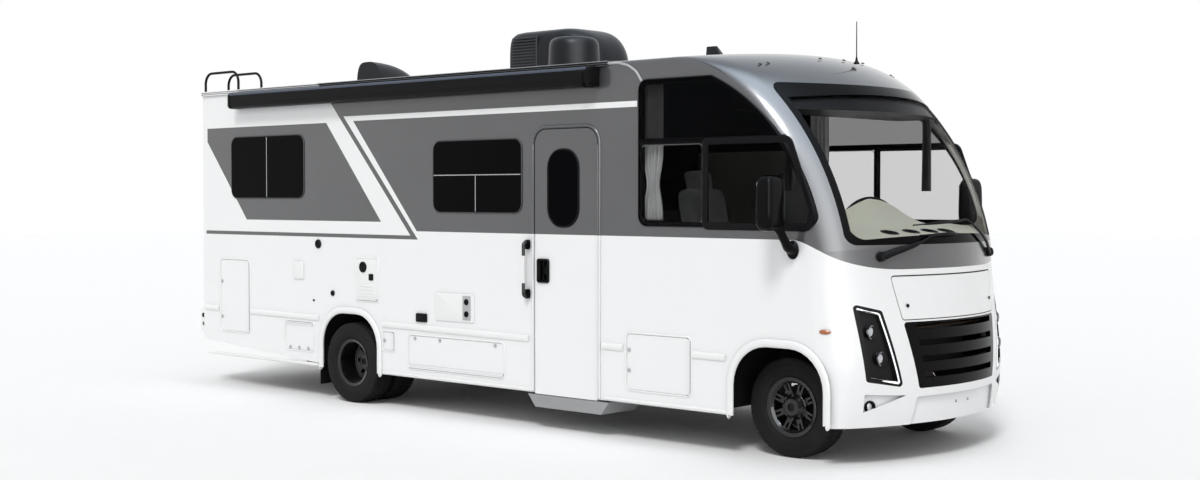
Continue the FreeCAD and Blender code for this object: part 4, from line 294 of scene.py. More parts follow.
def surface(name, grids, finish, body="coach", replaces=None):
    """One object from grids of points [u, v, xyz]; a grid comes with its u and v wrap flags.

    Grid cells become quads, doubled points merge, and the faces of closed forms turn outwards.
    """
    vertices, faces, start = [], [], 0
    for spots, wrap_u, wrap_v in grids:
        rows, columns = spots.shape[:2]
        u = np.arange(rows if wrap_u else rows - 1)[:, None]
        v = np.arange(columns if wrap_v else columns - 1)[None, :]
        near, far = u * columns, (u + 1) % rows * columns
        left, right = v, (v + 1) % columns
        cells = np.stack([near + left, far + left, far + right, near + right], axis=-1)
        vertices.append(spots.reshape(-1, 3))
        faces.append(cells.reshape(-1, 4) + start)
        start += rows * columns
    mesh = bpy.data.meshes.new(name)
    mesh.from_pydata(np.concatenate(vertices).tolist(), [], np.concatenate(faces).tolist())
    shape = bmesh.new()
    shape.from_mesh(mesh)
    bmesh.ops.remove_doubles(shape, verts=shape.verts, dist=2e-5)
    bmesh.ops.recalc_face_normals(shape, faces=shape.faces)
    shape.to_mesh(mesh)
    shape.free()
    mesh.polygons.foreach_set("use_smooth", np.ones(len(mesh.polygons), dtype=bool))
    mesh.set_sharp_from_angle(angle=math.radians(38))
    mesh.materials.append(finish)
    piece = bpy.data.objects.new(name, mesh)
    bpy.context.collection.objects.link(piece)
    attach(piece, body)
    if replaces:
        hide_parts(replaces)
    return piece


def points(x, y, z):
    """Points of three arrays or numbers, stretched to one shape."""
    return np.stack(np.broadcast_arrays(x, y, z), axis=-1)


def circle(count):
    """Angles once round."""
    return np.linspace(0, 2 * np.pi, count, endpoint=False)


def unit(vectors):
    """Vectors scaled to length one."""
    vectors = np.asarray(vectors, dtype=float)
    return vectors / np.maximum(np.linalg.norm(vectors, axis=-1, keepdims=True), 1e-9)


def capped(rows):
    """Rows of points with a row at the middle of the first and of the last one at either end."""
    ends = rows[[0, -1]].mean(axis=1, keepdims=True) + np.zeros_like(rows[[0, -1]])
    return np.concatenate([ends[:1], rows, ends[1:]])


def carried(path, profile, up, ring=False):
    """Closed profile (side, rise) carried along a path, square to it; rise points along up.

    Each row is path + side * (tangent x up) + rise * ((tangent x up) x tangent), and an open path is
    closed at both ends by a row at its own point.
    """
    path, profile = np.asarray(path, dtype=float), np.asarray(profile, dtype=float)
    ahead = unit(np.roll(path, -1, axis=0) - np.roll(path, 1, axis=0) if ring else np.gradient(path, axis=0))
    side = unit(np.cross(ahead, np.broadcast_to(up, path.shape)))
    rise = np.cross(side, ahead)
    rows = path[:, None] + side[:, None] * profile[None, :, :1] + rise[:, None] * profile[None, :, 1:]
    return rows if ring else capped(rows), ring, True


def oval(width, height, count=12):
    """Points round an ellipse, as (side, rise)."""
    turn = circle(count)
    return np.stack([np.cos(turn) * width / 2, np.sin(turn) * height / 2], axis=-1)


def rounded(corners, radii, steps=7):
    """Points round a polygon (u, v) whose corners are arcs of the given radii, anticlockwise."""
    corners = np.asarray(corners, dtype=float)
    radii = np.broadcast_to(np.asarray(radii, dtype=float), len(corners))
    toward = unit(np.roll(corners, 1, axis=0) - corners)
    away = unit(np.roll(corners, -1, axis=0) - corners)
    angle = np.arccos(np.clip((toward * away).sum(axis=1), -1, 1)) / 2
    entry = corners + toward * (radii / np.tan(angle))[:, None]
    leave = corners + away * (radii / np.tan(angle))[:, None]
    centre = corners + unit(toward + away) * (radii / np.sin(angle))[:, None]
    share = np.linspace(0, 1, steps)[None, :, None]
    spread = np.pi - 2 * angle[:, None, None]
    first = np.sin((1 - share) * spread) / np.sin(np.maximum(spread, 1e-6))
    second = np.sin(share * spread) / np.sin(np.maximum(spread, 1e-6))
    arc = centre[:, None] + (entry - centre)[:, None] * first + (leave - centre)[:, None] * second
    return arc.reshape(-1, 2)


def box_outline(low_u, high_u, low_v, high_v, radius):
    """Points round a rounded rectangle."""
    return rounded([(low_u, low_v), (high_u, low_v), (high_u, high_v), (low_u, high_v)], radius)


def on_wall(outline, side, out):
    """Outline (station, height) laid on the outside of a side wall, at a distance out from it."""
    return points(outline[..., 0], side * (half + out), outline[..., 1])


def along_wall(line, side, out, section, ring=False):
    """Section carried along a line that is laid on a side wall."""
    return carried(on_wall(line, side, out), section, (0, side, 0), ring)


def drifting(name, fixed, dark, light, rough, colour_noise, rough_noise=None, grain=None):
    """Finish with a noise that takes its colour from dark to light, one that lifts its roughness from
    a least value by a span, and a grain: scale and detail, height in metres and strength."""
    made, shader, where = new_finish(name, fixed)
    tint = noise(where, *colour_noise)
    drift = noise(where, *rough_noise) if rough_noise else tint
    where.put(shader.inputs["Base Color"], tint.mix(dark, light))
    where.put(shader.inputs["Roughness"], drift * rough[1] + rough[0])
    if grain:
        where.put(shader.inputs["Normal"], bumped(where, noise(where, *grain[:2]), *grain[2:]))
    return made, shader, where


moulding = drifting("moulding_white", {"Coat Weight": 0.3, "Coat Roughness": 0.1}, (0.84, 0.845, 0.85),
                    (0.80, 0.805, 0.80), (0.26, 0.08), (14.0, 4.0), grain=(240.0, 2.0, 0.0004, 0.15))[0]
hatch_names = {-1: ["tall_hatch_right", "low_hatch_right", "long_hatch_right", "front_hatch_right",
                    "fuel_door", "heater_door"],
               1: ["tall_hatch_left", "long_hatch_left", "front_hatch_left"]}
flap_radius, lid_radius, frame_gap = 0.017, 0.041, 0.010
arch_half, arch_top, arch_round, arch_steps = 0.428, 0.858, 0.330, 9
arch_middles = (axle + 0.034, axle - 4.848)
rail_runs = {-1: [(-7.20, -6.955), (-6.415, -5.315), (-4.38, -2.50), (-1.68, -1.455), (-0.755, -0.44)],
             1: [(-7.20, -6.955), (-6.415, -5.315), (-4.38, -1.455), (-0.755, -0.44)]}


def hatch_outline(name):
    """Outline just outside a hatch, taken from its node."""
    low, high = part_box(name)
    return box_outline(low[0] - frame_gap, high[0] + frame_gap, low[2] - frame_gap, high[2] + frame_gap,
                       flap_radius if name in ("fuel_door", "heater_door") else lid_radius)


def arch_path(middle):
    """Line over a wheel arch: up one side, round two corners, down the other."""
    left, right = middle - arch_half, middle + arch_half
    outline = rounded([(left, 0.30), (right, 0.30), (right, arch_top), (left, arch_top)],
                      [0.001, 0.001, arch_round, arch_round], arch_steps)
    return np.roll(outline, -arch_steps, axis=0)[:-1]


for side, word in sides:
    surface("hatch_frames_" + word, [along_wall(hatch_outline(name), side, 0.0, oval(0.016, 0.012), ring=True)
                                     for name in hatch_names[side]], moulding)
    rails = []
    for start, end in rail_runs[side]:
        stations = np.linspace(axle + start, axle + end, 24)
        level = 0.722 + np.clip((axle - 0.44 - stations) / 6.8, 0, 1) * 0.058
        rails.append(along_wall(np.stack([stations, level], axis=-1), side, 0.0, oval(0.058, 0.026)))
    surface("rub_rail_" + word, rails, moulding)
    surface("arch_lips_" + word, [along_wall(arch_path(middle), side, 0.004, oval(0.062, 0.034, 14))
                                  for middle in arch_middles], moulding)

# Door surround, roof seam and small wall fittings: extruded trims screwed on over sealant, moulded
# plates, vents and locks. Each sits on the skin of the wall, lid or door that carries it.
satin, dim = {"Specular IOR Level": 0.35}, {"Specular IOR Level": 0.07}


def moulded(name, tone, rough, grain=300.0, depth=0.0005, spread=0.12, fixed=satin):
    """Moulded or painted finish: a tone that drifts, roughness that drifts with it, and a fine grain."""
    dark, light = ([min(v * (1 + step), 1) for v in tone] for step in (-spread, spread))
    return drifting(name, fixed, dark, light, (rough - 0.06, 0.12), (5.0, 5.0),
                    grain=(grain, 2.0, depth, 0.3))[0]


black_satin = moulded("black_satin", (0.006, 0.006, 0.0068), 0.40, fixed=dim)
black_gloss = moulded("black_gloss", (0.003, 0.003, 0.0035), 0.16, depth=0.0002, fixed=dim)
trim_silver = moulded("trim_silver", (0.42, 0.43, 0.44), 0.32, spread=0.05)
light_grey = moulded("light_grey_plastic", (0.42, 0.43, 0.44), 0.5)


def inset(outline, gap):
    """Closed anticlockwise outline moved in by a gap, each point square to its neighbours' line."""
    ahead = unit(np.roll(outline, -1, axis=0) - np.roll(outline, 1, axis=0))
    return outline + np.stack([-ahead[:, 1], ahead[:, 0]], axis=-1) * gap


def levels_of(outline, place, levels):
    """Closed slab through levels (out, gap) of an outline, which is laid on a surface by place."""
    rows = [place(inset(outline, gap), out) for out, gap in levels]
    middles = [np.broadcast_to(place(outline.mean(axis=0)[None], levels[i][0]), rows[0].shape)
               for i in (0, -1)]
    return np.stack([middles[0], *rows, middles[1]]), False, True


def plate(outline, place, rise, edge=0.002, foot=0.0):
    """Slab on a surface: from its seat up its side, over an eased edge and in to its middle.

    place(outline, out) lays flat points on the surface at a distance out from it.
    """
    return levels_of(outline, place,
                     [(foot, 0.0), (rise - edge, 0.0), (rise - edge * 0.3, edge * 0.3), (rise, edge)])


def wall_plate(low_x, high_x, low_z, high_z, radius, side, rise, foot=0.0):
    """Rounded slab on a side wall, by stations from the front axle."""
    outline = box_outline(axle + low_x, axle + high_x, low_z, high_z, radius)
    return plate(outline, lambda spots, out: on_wall(spots, side, out), rise, foot=foot)


def turned(profile, centre, axis, count=32):
    """Profile (along, radius) turned about an axis through a centre."""
    axis = unit(axis)
    helper = np.array([0.0, 0.0, 1.0]) if abs(axis[2]) < 0.9 else np.array([1.0, 0.0, 0.0])
    across = unit(np.cross(axis, helper))
    upright = np.cross(axis, across)
    turn = circle(count)[:, None, None]
    along, radius = np.asarray(profile, dtype=float).T[:, None, :, None]
    spots = axis * along + (across * np.cos(turn) + upright * np.sin(turn)) * radius
    return np.asarray(centre) + spots, True, False


def stud(radius, rise, dish=0.0):
    """Profile of a low round button with an eased edge and, where dish is given, a sunk middle."""
    return [(0, 0), (0, radius), (rise * 0.6, radius), (rise, radius * 0.88), (rise, radius * 0.62),
            (rise - dish, radius * 0.5), (rise - dish, 0)]


def round_fitting(x, z, radius, rise, side=-1, dish=0.0):
    """Round button on a side wall, by its station from the front axle."""
    return turned(stud(radius, rise, dish), (axle + x, side * half, z), (0, side, 0), 28)


def ribbed(height, depth, ribs, count=25):
    """Closed section with half-round ribs: rise is depth times 0.5 plus half |sine of the ribs|."""
    share = np.linspace(0, 1, count)
    rise = depth * (0.5 + 0.5 * np.abs(np.sin(ribs * np.pi * share)))
    front = np.stack([(share - 0.5) * height, rise], axis=-1)
    return np.concatenate([front, [[height / 2, -0.002], [-height / 2, -0.002]]])


def softened(line):
    """Line whose inner points are twice averaged with their neighbours."""
    for _ in range(2):
        line[1:-1] = (line[:-2] + line[1:-1] * 2 + line[2:]) / 4
    return line


trim_out, door_steps = 0.016, 11
door_left, door_right, door_head = axle - 2.433 - trim_out, axle - 1.72 + trim_out, 2.477 + trim_out
surround = rounded([(door_left, 0.31), (door_right, 0.31), (door_right, door_head), (door_left, door_head)],
                   [0.001, 0.001, 0.146, 0.146], door_steps)
surround = np.roll(surround, -door_steps, axis=0)[:-1]
surface("door_surround", [along_wall(surround, -1, 0.0, oval(0.024, 0.022))], shell_paint)

seam_spots = np.array([(-1.62, 2.972), (-1.50, 2.970), (-1.40, 2.945), (-1.32, 2.895), (-1.262, 2.815)])
share = np.linspace(0, 4, 29)
seam_line = softened(np.stack([np.interp(share, np.arange(5), seam_spots[:, i]) for i in (0, 1)], axis=-1))
eaves_line = np.stack([np.linspace(axle - 7.226, axle - 1.612, 24), np.full(24, 2.970)], axis=-1)
for side, word in sides:
    surface("roof_rail_" + word, [along_wall(eaves_line, side, 0.0, ribbed(0.046, 0.020, 3))], shell_paint)
    surface("roof_seam_" + word, [along_wall(seam_line + (axle, 0), side, 0.001, oval(0.020, 0.016))],
            trim_silver)

surface("outlet_panel", [wall_plate(-3.651, -3.158, 0.833, 1.08, 0.012, -1, 0.008),
                         wall_plate(-5.70, -5.545, 1.127, 1.295, 0.012, -1, 0.010)], moulding)
surface("outlet_strip", [wall_plate(-3.296, -3.195, 0.852, 1.064, 0.010, -1, 0.013, foot=0.006)],
        light_grey)
surface("outlet_sockets", [round_fitting(-3.245, 0.905, 0.028, 0.020, dish=0.006),
                           round_fitting(-3.245, 1.01, 0.028, 0.020, dish=0.006),
                           wall_plate(-3.909, -3.767, 0.806, 0.882, 0.010, -1, 0.012),
                           round_fitting(-5.317, 1.47, 0.042, 0.014, dish=0.008),
                           round_fitting(-5.10, 1.01, 0.026, 0.012, dish=0.006),
                           round_fitting(-5.39, 0.93, 0.011, 0.007)], black_satin)
surface("heater_cover", [wall_plate(-4.752, -4.448, 0.974, 1.345, 0.016, -1, 0.006, foot=-0.001)]
        + [wall_plate(-4.70, -4.50, z, z + 0.012, 0.005, -1, 0.011, foot=0.005)
           for z in (1.00, 1.03, 1.06, 1.09)], moulding, "heater_door")
flue = (axle - 4.646, -half, 1.27)
surface("heater_outlet", [turned([(0.005, 0.030), (0.005, 0.050), (0.014, 0.050), (0.016, 0.044),
                                  (0.014, 0.034), (0.008, 0.030)], flue, (0, -1, 0)),
                          turned([(0.004, 0), (0.004, 0.030), (0.007, 0.030), (0.007, 0)], flue, (0, -1, 0)),
                          wall_plate(-4.56, -4.50, 1.15, 1.21, 0.008, -1, 0.014, foot=0.005)],
        black_satin, "heater_door")

# Latches of the hatches: small white cam locks near the free edge of each lid, and the black lever
# plate of the entry door, which is moulded round a sunk pull. The assist handle has a pale rod.
latch_spots = {"tall_hatch": [(-6.90, 1.06), (-6.90, 0.70)],
               "low_hatch": [(-5.76, 0.462), (-5.62, 0.462), (-5.48, 0.462)],
               "long_hatch": [(-3.93, 0.655), (-3.60, 0.655), (-2.90, 0.655)],
               "front_hatch": [(-1.39, 0.72), (-1.39, 0.56)], "fuel_door": [(-4.35, 0.61)]}
for side, word in sides:
    for name in hatch_names[side]:
        spots = latch_spots.get(name.removesuffix("_" + word), [])
        if spots:
            surface("latches_" + name, [round_fitting(x, z, 0.015, 0.008, side, 0.002) for x, z in spots],
                    light_grey, name)

lock_x = axle - 2.329
lock_levels = [(0.0, 0.0), (0.010, 0.0), (0.014, 0.004), (0.014, 0.018), (0.004, 0.026), (0.004, 0.05)]
surface("door_lock", [levels_of(box_outline(lock_x - 0.069, lock_x + 0.069, 1.211, 1.409, 0.022),
                                lambda spots, out: on_wall(spots, -1, out), lock_levels),
                      wall_plate(-2.385, -2.345, 1.235, 1.385, 0.012, -1, 0.020, foot=0.003),
                      round_fitting(-2.292, 1.345, 0.013, 0.012)], black_gloss, body="entry_door")
dress(black_satin, "ladder", "hitch_receiver")

handle_finish, handle_shader, where = new_finish("handle", {"Specular IOR Level": 0.4})
handle_z, rod_foot, rod_head = where.parts()[2], 1.205, 1.432
where.put(handle_shader.inputs["Base Color"],
          ((handle_z > rod_foot) & (handle_z < rod_head)).mix((0.016, 0.016, 0.017), (0.8, 0.8, 0.8)))
where.put(handle_shader.inputs["Roughness"], noise(where, 40.0) * 0.1 + 0.3)
where.put(handle_shader.inputs["Normal"], bumped(where, noise(where, 300.0), 0.0005))
dress(handle_finish, "assist_handle")
grip_low, grip_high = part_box("assist_handle")
grip_x = (grip_low[0] + grip_high[0]) / 2 - axle
surface("handle_feet", [wall_plate(grip_x - 0.021, grip_x + 0.021, z - 0.040, z + 0.040, 0.019, -1, 0.030)
                        for z in (grip_low[2] + 0.034, grip_high[2] - 0.034)], black_gloss)

# Side windows: bonded panes of near-black tinted glass, flush in black frames with round corners.
# Slim silver division bars lie on the glass, and a grey rubber lip runs round each frame.
glass_tones = (0.0010, 0.0010, 0.0014), (0.0022, 0.0024, 0.0030)
dress(drifting("black_glass", {"Specular IOR Level": 0.015}, *glass_tones, (0.03, 0.03), (1.5, 3.0),
               grain=(3.0, 3.0, 0.002, 0.05))[0], "entry_door_glass")
lip_rubber = moulded("lip_rubber", (0.05, 0.05, 0.052), 0.55)
rear_box, middle_box, box_radius = (-6.72, -5.531, 1.904, 2.515), (-3.676, -2.576, 1.782, 2.405), 0.085
bars = [[(-6.126, 1.915), (-6.126, 2.504)], [(-3.666, 2.106), (-2.586, 2.106)],
        [(-3.135, 1.793), (-3.135, 2.103)]]
for side, word in sides:
    surface("window_lips_" + word,
            [along_wall(box_outline(axle + back, axle + front, foot, top, box_radius), side, 0.003,
                        oval(0.010, 0.012), ring=True) for back, front, foot, top in (rear_box, middle_box)],
            lip_rubber)
    surface("window_bars_" + word, [along_wall(np.linspace(start, end, 8) + (axle, 0), side, 0.008,
                                               oval(0.008, 0.004, 8)) for start, end in bars],
            trim_silver)
door_pane = box_outline(axle - 2.274, axle - 1.931, 1.676, 2.304, 0.150)
surface("door_window_lip", [along_wall(door_pane, -1, 0.002, oval(0.016, 0.014), ring=True)], black_satin,
        body="entry_door")

# Cab side windows and windscreen: tinted glass, the windscreen with a printed black border. House
# windows are opaque and the upper cab panes half so; the others let the seats and dash show through.
dress(black_satin, "window_frames")
side_glass, side_shader, where = drifting("side_glass", {"Specular IOR Level": 0.03}, *glass_tones,
                                          (0.02, 0.03), (1.5, 3.0), (2.0, 3.0))
glass_x, _, glass_z = where.parts()
glass_x = glass_x - axle
cab_back, clear_back, clear_front, clear_head = -1.32, -1.28, 0.40, 2.335
cab_share, clear_share = 0.48, 0.34
clear = (glass_x > clear_back) & (glass_z < clear_head) & (glass_x < clear_front)
where.put(side_shader.inputs["Alpha"], 1.0 - (glass_x > cab_back) * cab_share - clear * clear_share)
dress(side_glass, "window_glass")

screen_foot, screen_head, screen_half = 1.575, 2.766, 1.045
foot_band, head_band, side_band, pane_corner, pane_radius = 0.072, 0.075, 0.05, 0.15, 0.11
screen_glass, screen_shader, where = drifting(
    "windscreen_glass", {"Specular IOR Level": 0.05}, (0.0015, 0.0015, 0.0018), (0.003, 0.003, 0.0035),
    (0.02, 0.02), (1.5, 3.0), (2.0, 3.0))
_, across, level = where.parts()
crown = across * across * (1 / cap_camber)
border = (level + crown < screen_foot + foot_band) | (level + crown > screen_head - head_band)
border = border | (abs(across) > screen_half - side_band)
corner_y = abs(across) - (screen_half - pane_corner) | 0.0
corner_z = (screen_foot + pane_corner - level | 0.0) | (level - (screen_head - pane_corner - 0.005) | 0.0)
border = border | ((corner_y * corner_y + corner_z * corner_z).maths("SQRT") > pane_radius)
where.put(screen_shader.inputs["Alpha"], border * 0.94 + 0.05)
dress(screen_glass, "windscreen")

slide_back, slide_foot, slide_head = -0.638, 1.700, 2.336
sash_ring = rounded([(slide_back, slide_foot), (0.300, slide_foot), (0.330, 1.82), (0.132, slide_head),
                     (slide_back, slide_head)], [0.03, 0.05, 0.08, 0.06, 0.03]) + (axle, 0)
sash_rail = np.linspace((-1.29, 2.345), (0.10, 2.345), 12) + (axle, 0)
pane_outline = box_outline(axle - 1.262, axle + slide_back - 0.03, 1.722, 2.318, 0.03)
for side, word in sides:
    surface("sliding_sash_" + word, [along_wall(sash_ring, side, 0.004, oval(0.054, 0.016), ring=True),
                                     along_wall(sash_rail, side, 0.001, oval(0.048, 0.012))], black_satin)
    surface("pane_edge_" + word, [along_wall(pane_outline, side, -0.004, oval(0.007, 0.006, 8), ring=True)],
            trim_silver)

# Tyres: black moulded rubber with five ribs, staggered sipes and shoulder lugs in the tread, and
# concentric mould lines on the sidewalls. The rear wheels carry two each.
rubber = drifting("tyre_rubber", {"Specular IOR Level": 0.09}, (0.007, 0.007, 0.007), (0.018, 0.018, 0.017),
                  (0.62, 0.15), (7.0, 6.0), grain=(400.0, 2.0, 0.0006, 0.4))[0]


def tyre(x, y, blocks=56, fine=6):
    """Closed tyre: the section's radius falls by the tread's grooves, which run round it at fixed
    widths and across it where the angle, sheared by the width, crosses a block's edge."""
    reach, bead, shoulder_y, centre_rib = 0.372, 0.2034, 0.0935, 0.020
    groove_half, sipe_share, lug_share, lug_foot = 0.0036, 0.17, 0.34, 0.350
    groove_depth, sipe_depth, lug_depth = 0.0095, 0.0060, 0.0045
    wall = np.array([(-0.0826, bead), (-0.0826, 0.2216), (-0.094, 0.232), (-0.106, 0.256), (-0.1112, 0.284),
                     (-0.1100, 0.287), (-0.1112, 0.290), (-0.1095, 0.318), (-0.1078, 0.321),
                     (-0.1082, 0.324), (-0.1055, 0.345), (-0.1035, 0.358), (-0.0975, 0.367)])
    tread = np.linspace(-0.092, 0.092, 37)
    crown = reach - np.abs(tread / 0.092) ** 4 * 0.0028
    across = np.concatenate([wall[:, 0], tread, -wall[::-1, 0]])
    radius = np.concatenate([wall[:, 1], crown, wall[::-1, 1]])
    turn = circle(blocks * fine)[:, None]
    rib = np.min(np.abs(across[:, None] - np.array([-0.058, -centre_rib, centre_rib, 0.058])), axis=1)
    shear = np.where(np.abs(across) < centre_rib, across * 8, np.sign(across) * 0.25)
    step = (turn / (2 * np.pi) * blocks + shear) % 1.0
    in_tread = np.abs(across) < shoulder_y
    groove = in_tread & (rib < groove_half)
    sipe = in_tread & (step < sipe_share) & (np.abs(across) > centre_rib + 0.002)
    lug = ~in_tread & (radius > lug_foot) & (step < lug_share)
    depth = np.where(groove, groove_depth, np.where(sipe, sipe_depth, 0.0)) + np.where(lug, lug_depth, 0.0)
    radius = radius - depth
    return points(x + np.cos(turn) * radius, y + across, reach + np.sin(turn) * radius), True, True


rear_low, rear_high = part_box("rims_rear_right")
rear_axle_x = (rear_low[0] + rear_high[0]) / 2
for side, word in sides:
    surface("front_tyre_" + word, [tyre(axle, side * 0.88)], rubber, "wheel_front_" + word,
            "tyre_front_" + word)
    surface("rear_tyres_" + word, [tyre(rear_axle_x, side * 1.09), tyre(rear_axle_x, side * 0.81)], rubber,
            "wheels_rear_" + word, "tyres_rear_" + word)

# Wheels: cast wheels in gloss black paint, filmed with brake dust, that are bolted on their hubs. The
# rear pair shares one set of nuts.
dress(drifting("wheel_black", {"Coat Weight": 0.6, "Coat Roughness": 0.05, "Specular IOR Level": 0.2},
               (0.0025, 0.0025, 0.003), (0.006, 0.0058, 0.0055), (0.22, 0.2), (12.0, 6.0),
               grain=(500.0, 3.0, 0.0003, 0.2))[0],
      "rim_front_right", "rim_front_left", "rims_rear_right", "rims_rear_left")

# Nose fittings: gloss black grille and lamp bezels, a white light line round each lamp, two round
# projectors over faceted scoops, fog lamps in the bumper, and small latches on the hood.
screen_start = 1.585
nose_fit = np.polyfit([0.280, 0.540, 1.020, 1.356, screen_start], [0.855, 0.889, 0.859, 0.815, 0.80206], 4)


def on_nose(spots, out=0.0):
    """Points (y, z) on the cap's outer face, moved forward by out.

    The mid profile is a quartic below the glass, an arc over it and a brow arc above. It is drawn
    back by y squared over the sweep and by the corner arc, and lowered by y squared over the camber.
    """
    spots = np.asarray(spots)
    y, z = spots[..., 0], spots[..., 1]
    level = z + y ** 2 / cap_camber
    past = np.clip(np.abs(y) - corner_from, 0, corner_reach)
    back = y ** 2 / cap_sweep + corner_round - np.sqrt(corner_round ** 2 - past ** 2)
    screen, brow = (np.sqrt(np.maximum(radius ** 2 - (level - middle_z) ** 2, 0)) + middle_x
                    for middle_x, middle_z, radius in (screen_arc, brow_arc))
    over = np.where(level < brow_start, screen, brow)
    x = np.where(level < screen_start, np.polyval(nose_fit, level), over)
    return points(axle + x - back + out, y, z)


dress(black_gloss, "grille")
lamp_finish, lamp_shader, where = drifting(
    "lamp_housing", {"Specular IOR Level": 0.12}, (0.006, 0.006, 0.007), (0.013, 0.013, 0.014), (0.18, 0.1),
    (8.0, 3.0), (20.0, 3.0))
facets = where.node("TexVoronoi", {"feature": "F1"}, {"Vector": where, "Scale": 26.0}, 1)
where.put(lamp_shader.inputs["Normal"], bumped(where, facets, 0.004, 0.25))
dress(lamp_finish, "headlamps")

light_line, line_shader, where = new_finish("light_line", {"Emission Strength": 0.55, "Roughness": 0.3})
glow = noise(where, 60.0)
where.put(line_shader.inputs["Base Color"], glow.mix((0.80, 0.82, 0.85), (0.92, 0.93, 0.95)))
where.put(line_shader.inputs["Emission Color"], glow.mix((0.85, 0.88, 0.92), (1, 1, 1)))
lens_finish = drifting("lens", {"Coat Weight": 1.0, "Coat Roughness": 0.02}, (0.34, 0.36, 0.38),
                       (0.66, 0.68, 0.70), (0.05, 0.1), (90.0, 3.0))[0]
chrome = drifting("dark_chrome", {"Metallic": 1.0}, (0.20, 0.20, 0.21), (0.34, 0.34, 0.35), (0.12, 0.08),
                  (30.0, 3.0), (50.0, 3.0))[0]
amber = drifting("amber_lens", {"Coat Weight": 1.0, "Coat Roughness": 0.05}, (0.30, 0.060, 0.004),
                 (0.44, 0.105, 0.008), (0.12, 0.1), (80.0, 3.0), (60.0, 3.0))[0]
smoked = moulded("smoked_lens", (0.05, 0.035, 0.025), 0.2, fixed={"Coat Weight": 0.6})


def lens(centre, radius, out):
    """Round glass: a dome whose rise falls as the square root of one less the radius squared."""
    share = np.sin(np.linspace(np.pi / 2, 0, 7))
    dome = np.stack([out * np.sqrt(np.maximum(1 - share ** 2, 0)), radius * share], axis=-1)
    return turned(np.concatenate([[(0, 0), (0, radius)], dome]), centre, (1, 0, 0), 28)


def jewel(centre, along, up, size, rise):
    """Oval dome: centre + (along a cos t + up b sin t) s, rising by a step and the root of one less
    s squared."""
    along, up = unit(along), unit(up)
    lean = np.linspace(np.pi / 2, 0, 8)
    share = np.concatenate([[1.0], np.sin(lean)])[:, None, None]
    height = np.concatenate([[0.0], np.cos(lean) + 0.25])[:, None, None]
    turn = circle(28)[None, :, None]
    oval_now = along * np.cos(turn) * size[0] + up * np.sin(turn) * size[1]
    return np.asarray(centre) + oval_now * share + np.cross(along, up) * rise * height, False, True


def even(spots, count):
    """Spots joined by straight runs and sampled evenly."""
    spots = np.asarray(spots, dtype=float)
    share = np.concatenate([[0], np.cumsum(np.linalg.norm(np.diff(spots, axis=0), axis=1))])
    steps = np.linspace(0, share[-1], count)
    return np.stack([np.interp(steps, share, column) for column in spots.T], axis=-1)


lamp_corners = np.array([(0.682, 0.556), (0.980, 0.609), (1.033, 1.161), (0.819, 1.108)])
lamp_middle_y, lamp_middle_z, open_angle = 0.88, 0.86, 2.62
rim_profile = [(-0.02, 0.036), (-0.02, 0.052), (0.006, 0.052), (0.009, 0.047), (0.004, 0.038)]
fog_profile = [(-0.02, 0.0), (-0.02, 0.044), (0.012, 0.044), (0.014, 0.038), (0.006, 0.031), (0.000, 0.0)]
for side, word in sides:
    line = inset(rounded((lamp_corners * (side, 1))[::side], 0.026, 6), 0.027)
    angle = np.arctan2(line[:, 1] - lamp_middle_z, lamp_middle_y - line[:, 0] * side)
    order = np.argsort(angle)
    run = even(line[order][np.abs(angle[order]) < open_angle], 60)
    surface("light_line_" + word, [carried(on_nose(run, -0.001), oval(0.017, 0.009), (1, 0, 0))],
            light_line)
    centres = [on_nose((side * y, z), -0.010) for y, z in ((0.905, 0.958), (0.850, 0.768))]
    surface("projector_rims_" + word, [turned(rim_profile, centre, (1, 0, 0)) for centre in centres],
            chrome)
    surface("projector_lenses_" + word, [lens(centre - (0.006, 0, 0), 0.039, 0.014) for centre in centres],
            lens_finish)
    fog = on_nose((side * 0.93, 0.43), -0.020)
    surface("fog_rings_" + word, [turned(fog_profile, fog, (1, side * 0.55, 0))], black_gloss)
    surface("fog_lenses_" + word, [lens(fog + (0.001, 0, 0), 0.028, 0.012)], lens_finish)
    surface("hood_latches_" + word, [turned(stud(0.013, 0.007, 0.002), on_nose((side * 0.597, 1.137)),
                                            (1, side * 0.3, 0), 24)], black_satin, body="hood")
for side, word in sides:
    surface("marker_" + word, [jewel(on_nose((side * 1.174, 0.965)), (0.92 * -side, -0.39 * side, 0),
                                     (0, 0, 1), (0.042, 0.017), 0.010)], amber)
brow_spots = [(-0.93, 2.915), (-0.86, 2.925), (-0.30, 2.985), (0.0, 2.99), (0.30, 2.985), (0.86, 2.925),
              (0.93, 2.915)]
surface("clearance_lamps", [jewel(on_nose(spot), (0, 1, 0), (-0.75, 0, 0.66), (0.024, 0.009), 0.007)
                            for spot in brow_spots], smoked)

# Awning: a folded sun awning in a black extruded case along the kerb side. A lead rail runs along
# its upper edge in a bluish lighter tone that is a painted highlight, moulded caps close its ends,
# and an arm block stands at the cab end.
dress(black_satin, "awning_cassette")
# The lead rail's bluish lighter tone is a painted highlight on the top of the case.
lead_rail_painted_highlight = moulded("lead_rail_painted_highlight", (0.060, 0.075, 0.110), 0.3, spread=0.05)
case_low, case_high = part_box("awning_cassette")
case_face = -case_low[1]
case_line = np.linspace(case_low[0] + 0.02, case_high[0] - 0.02, 40)


def along_case(z, out, section):
    """Section carried along the face of the case at one height, at a distance out from it."""
    return carried(points(case_line, -case_face - out, z), section, (0, -1, 0))


def upright(station, way):
    """Placing for a plate whose outline is (y, z) and which rises along x from a station."""
    return lambda spots, out: points(station + way * out, spots[..., 0], spots[..., 1])


def end_outline(grow, foot, head, radii):
    """Outline round the case's end, from the wall to its face grown outwards."""
    face = -case_face - grow
    return rounded([(face, foot), (-half, foot), (-half, head), (face, head)], radii)


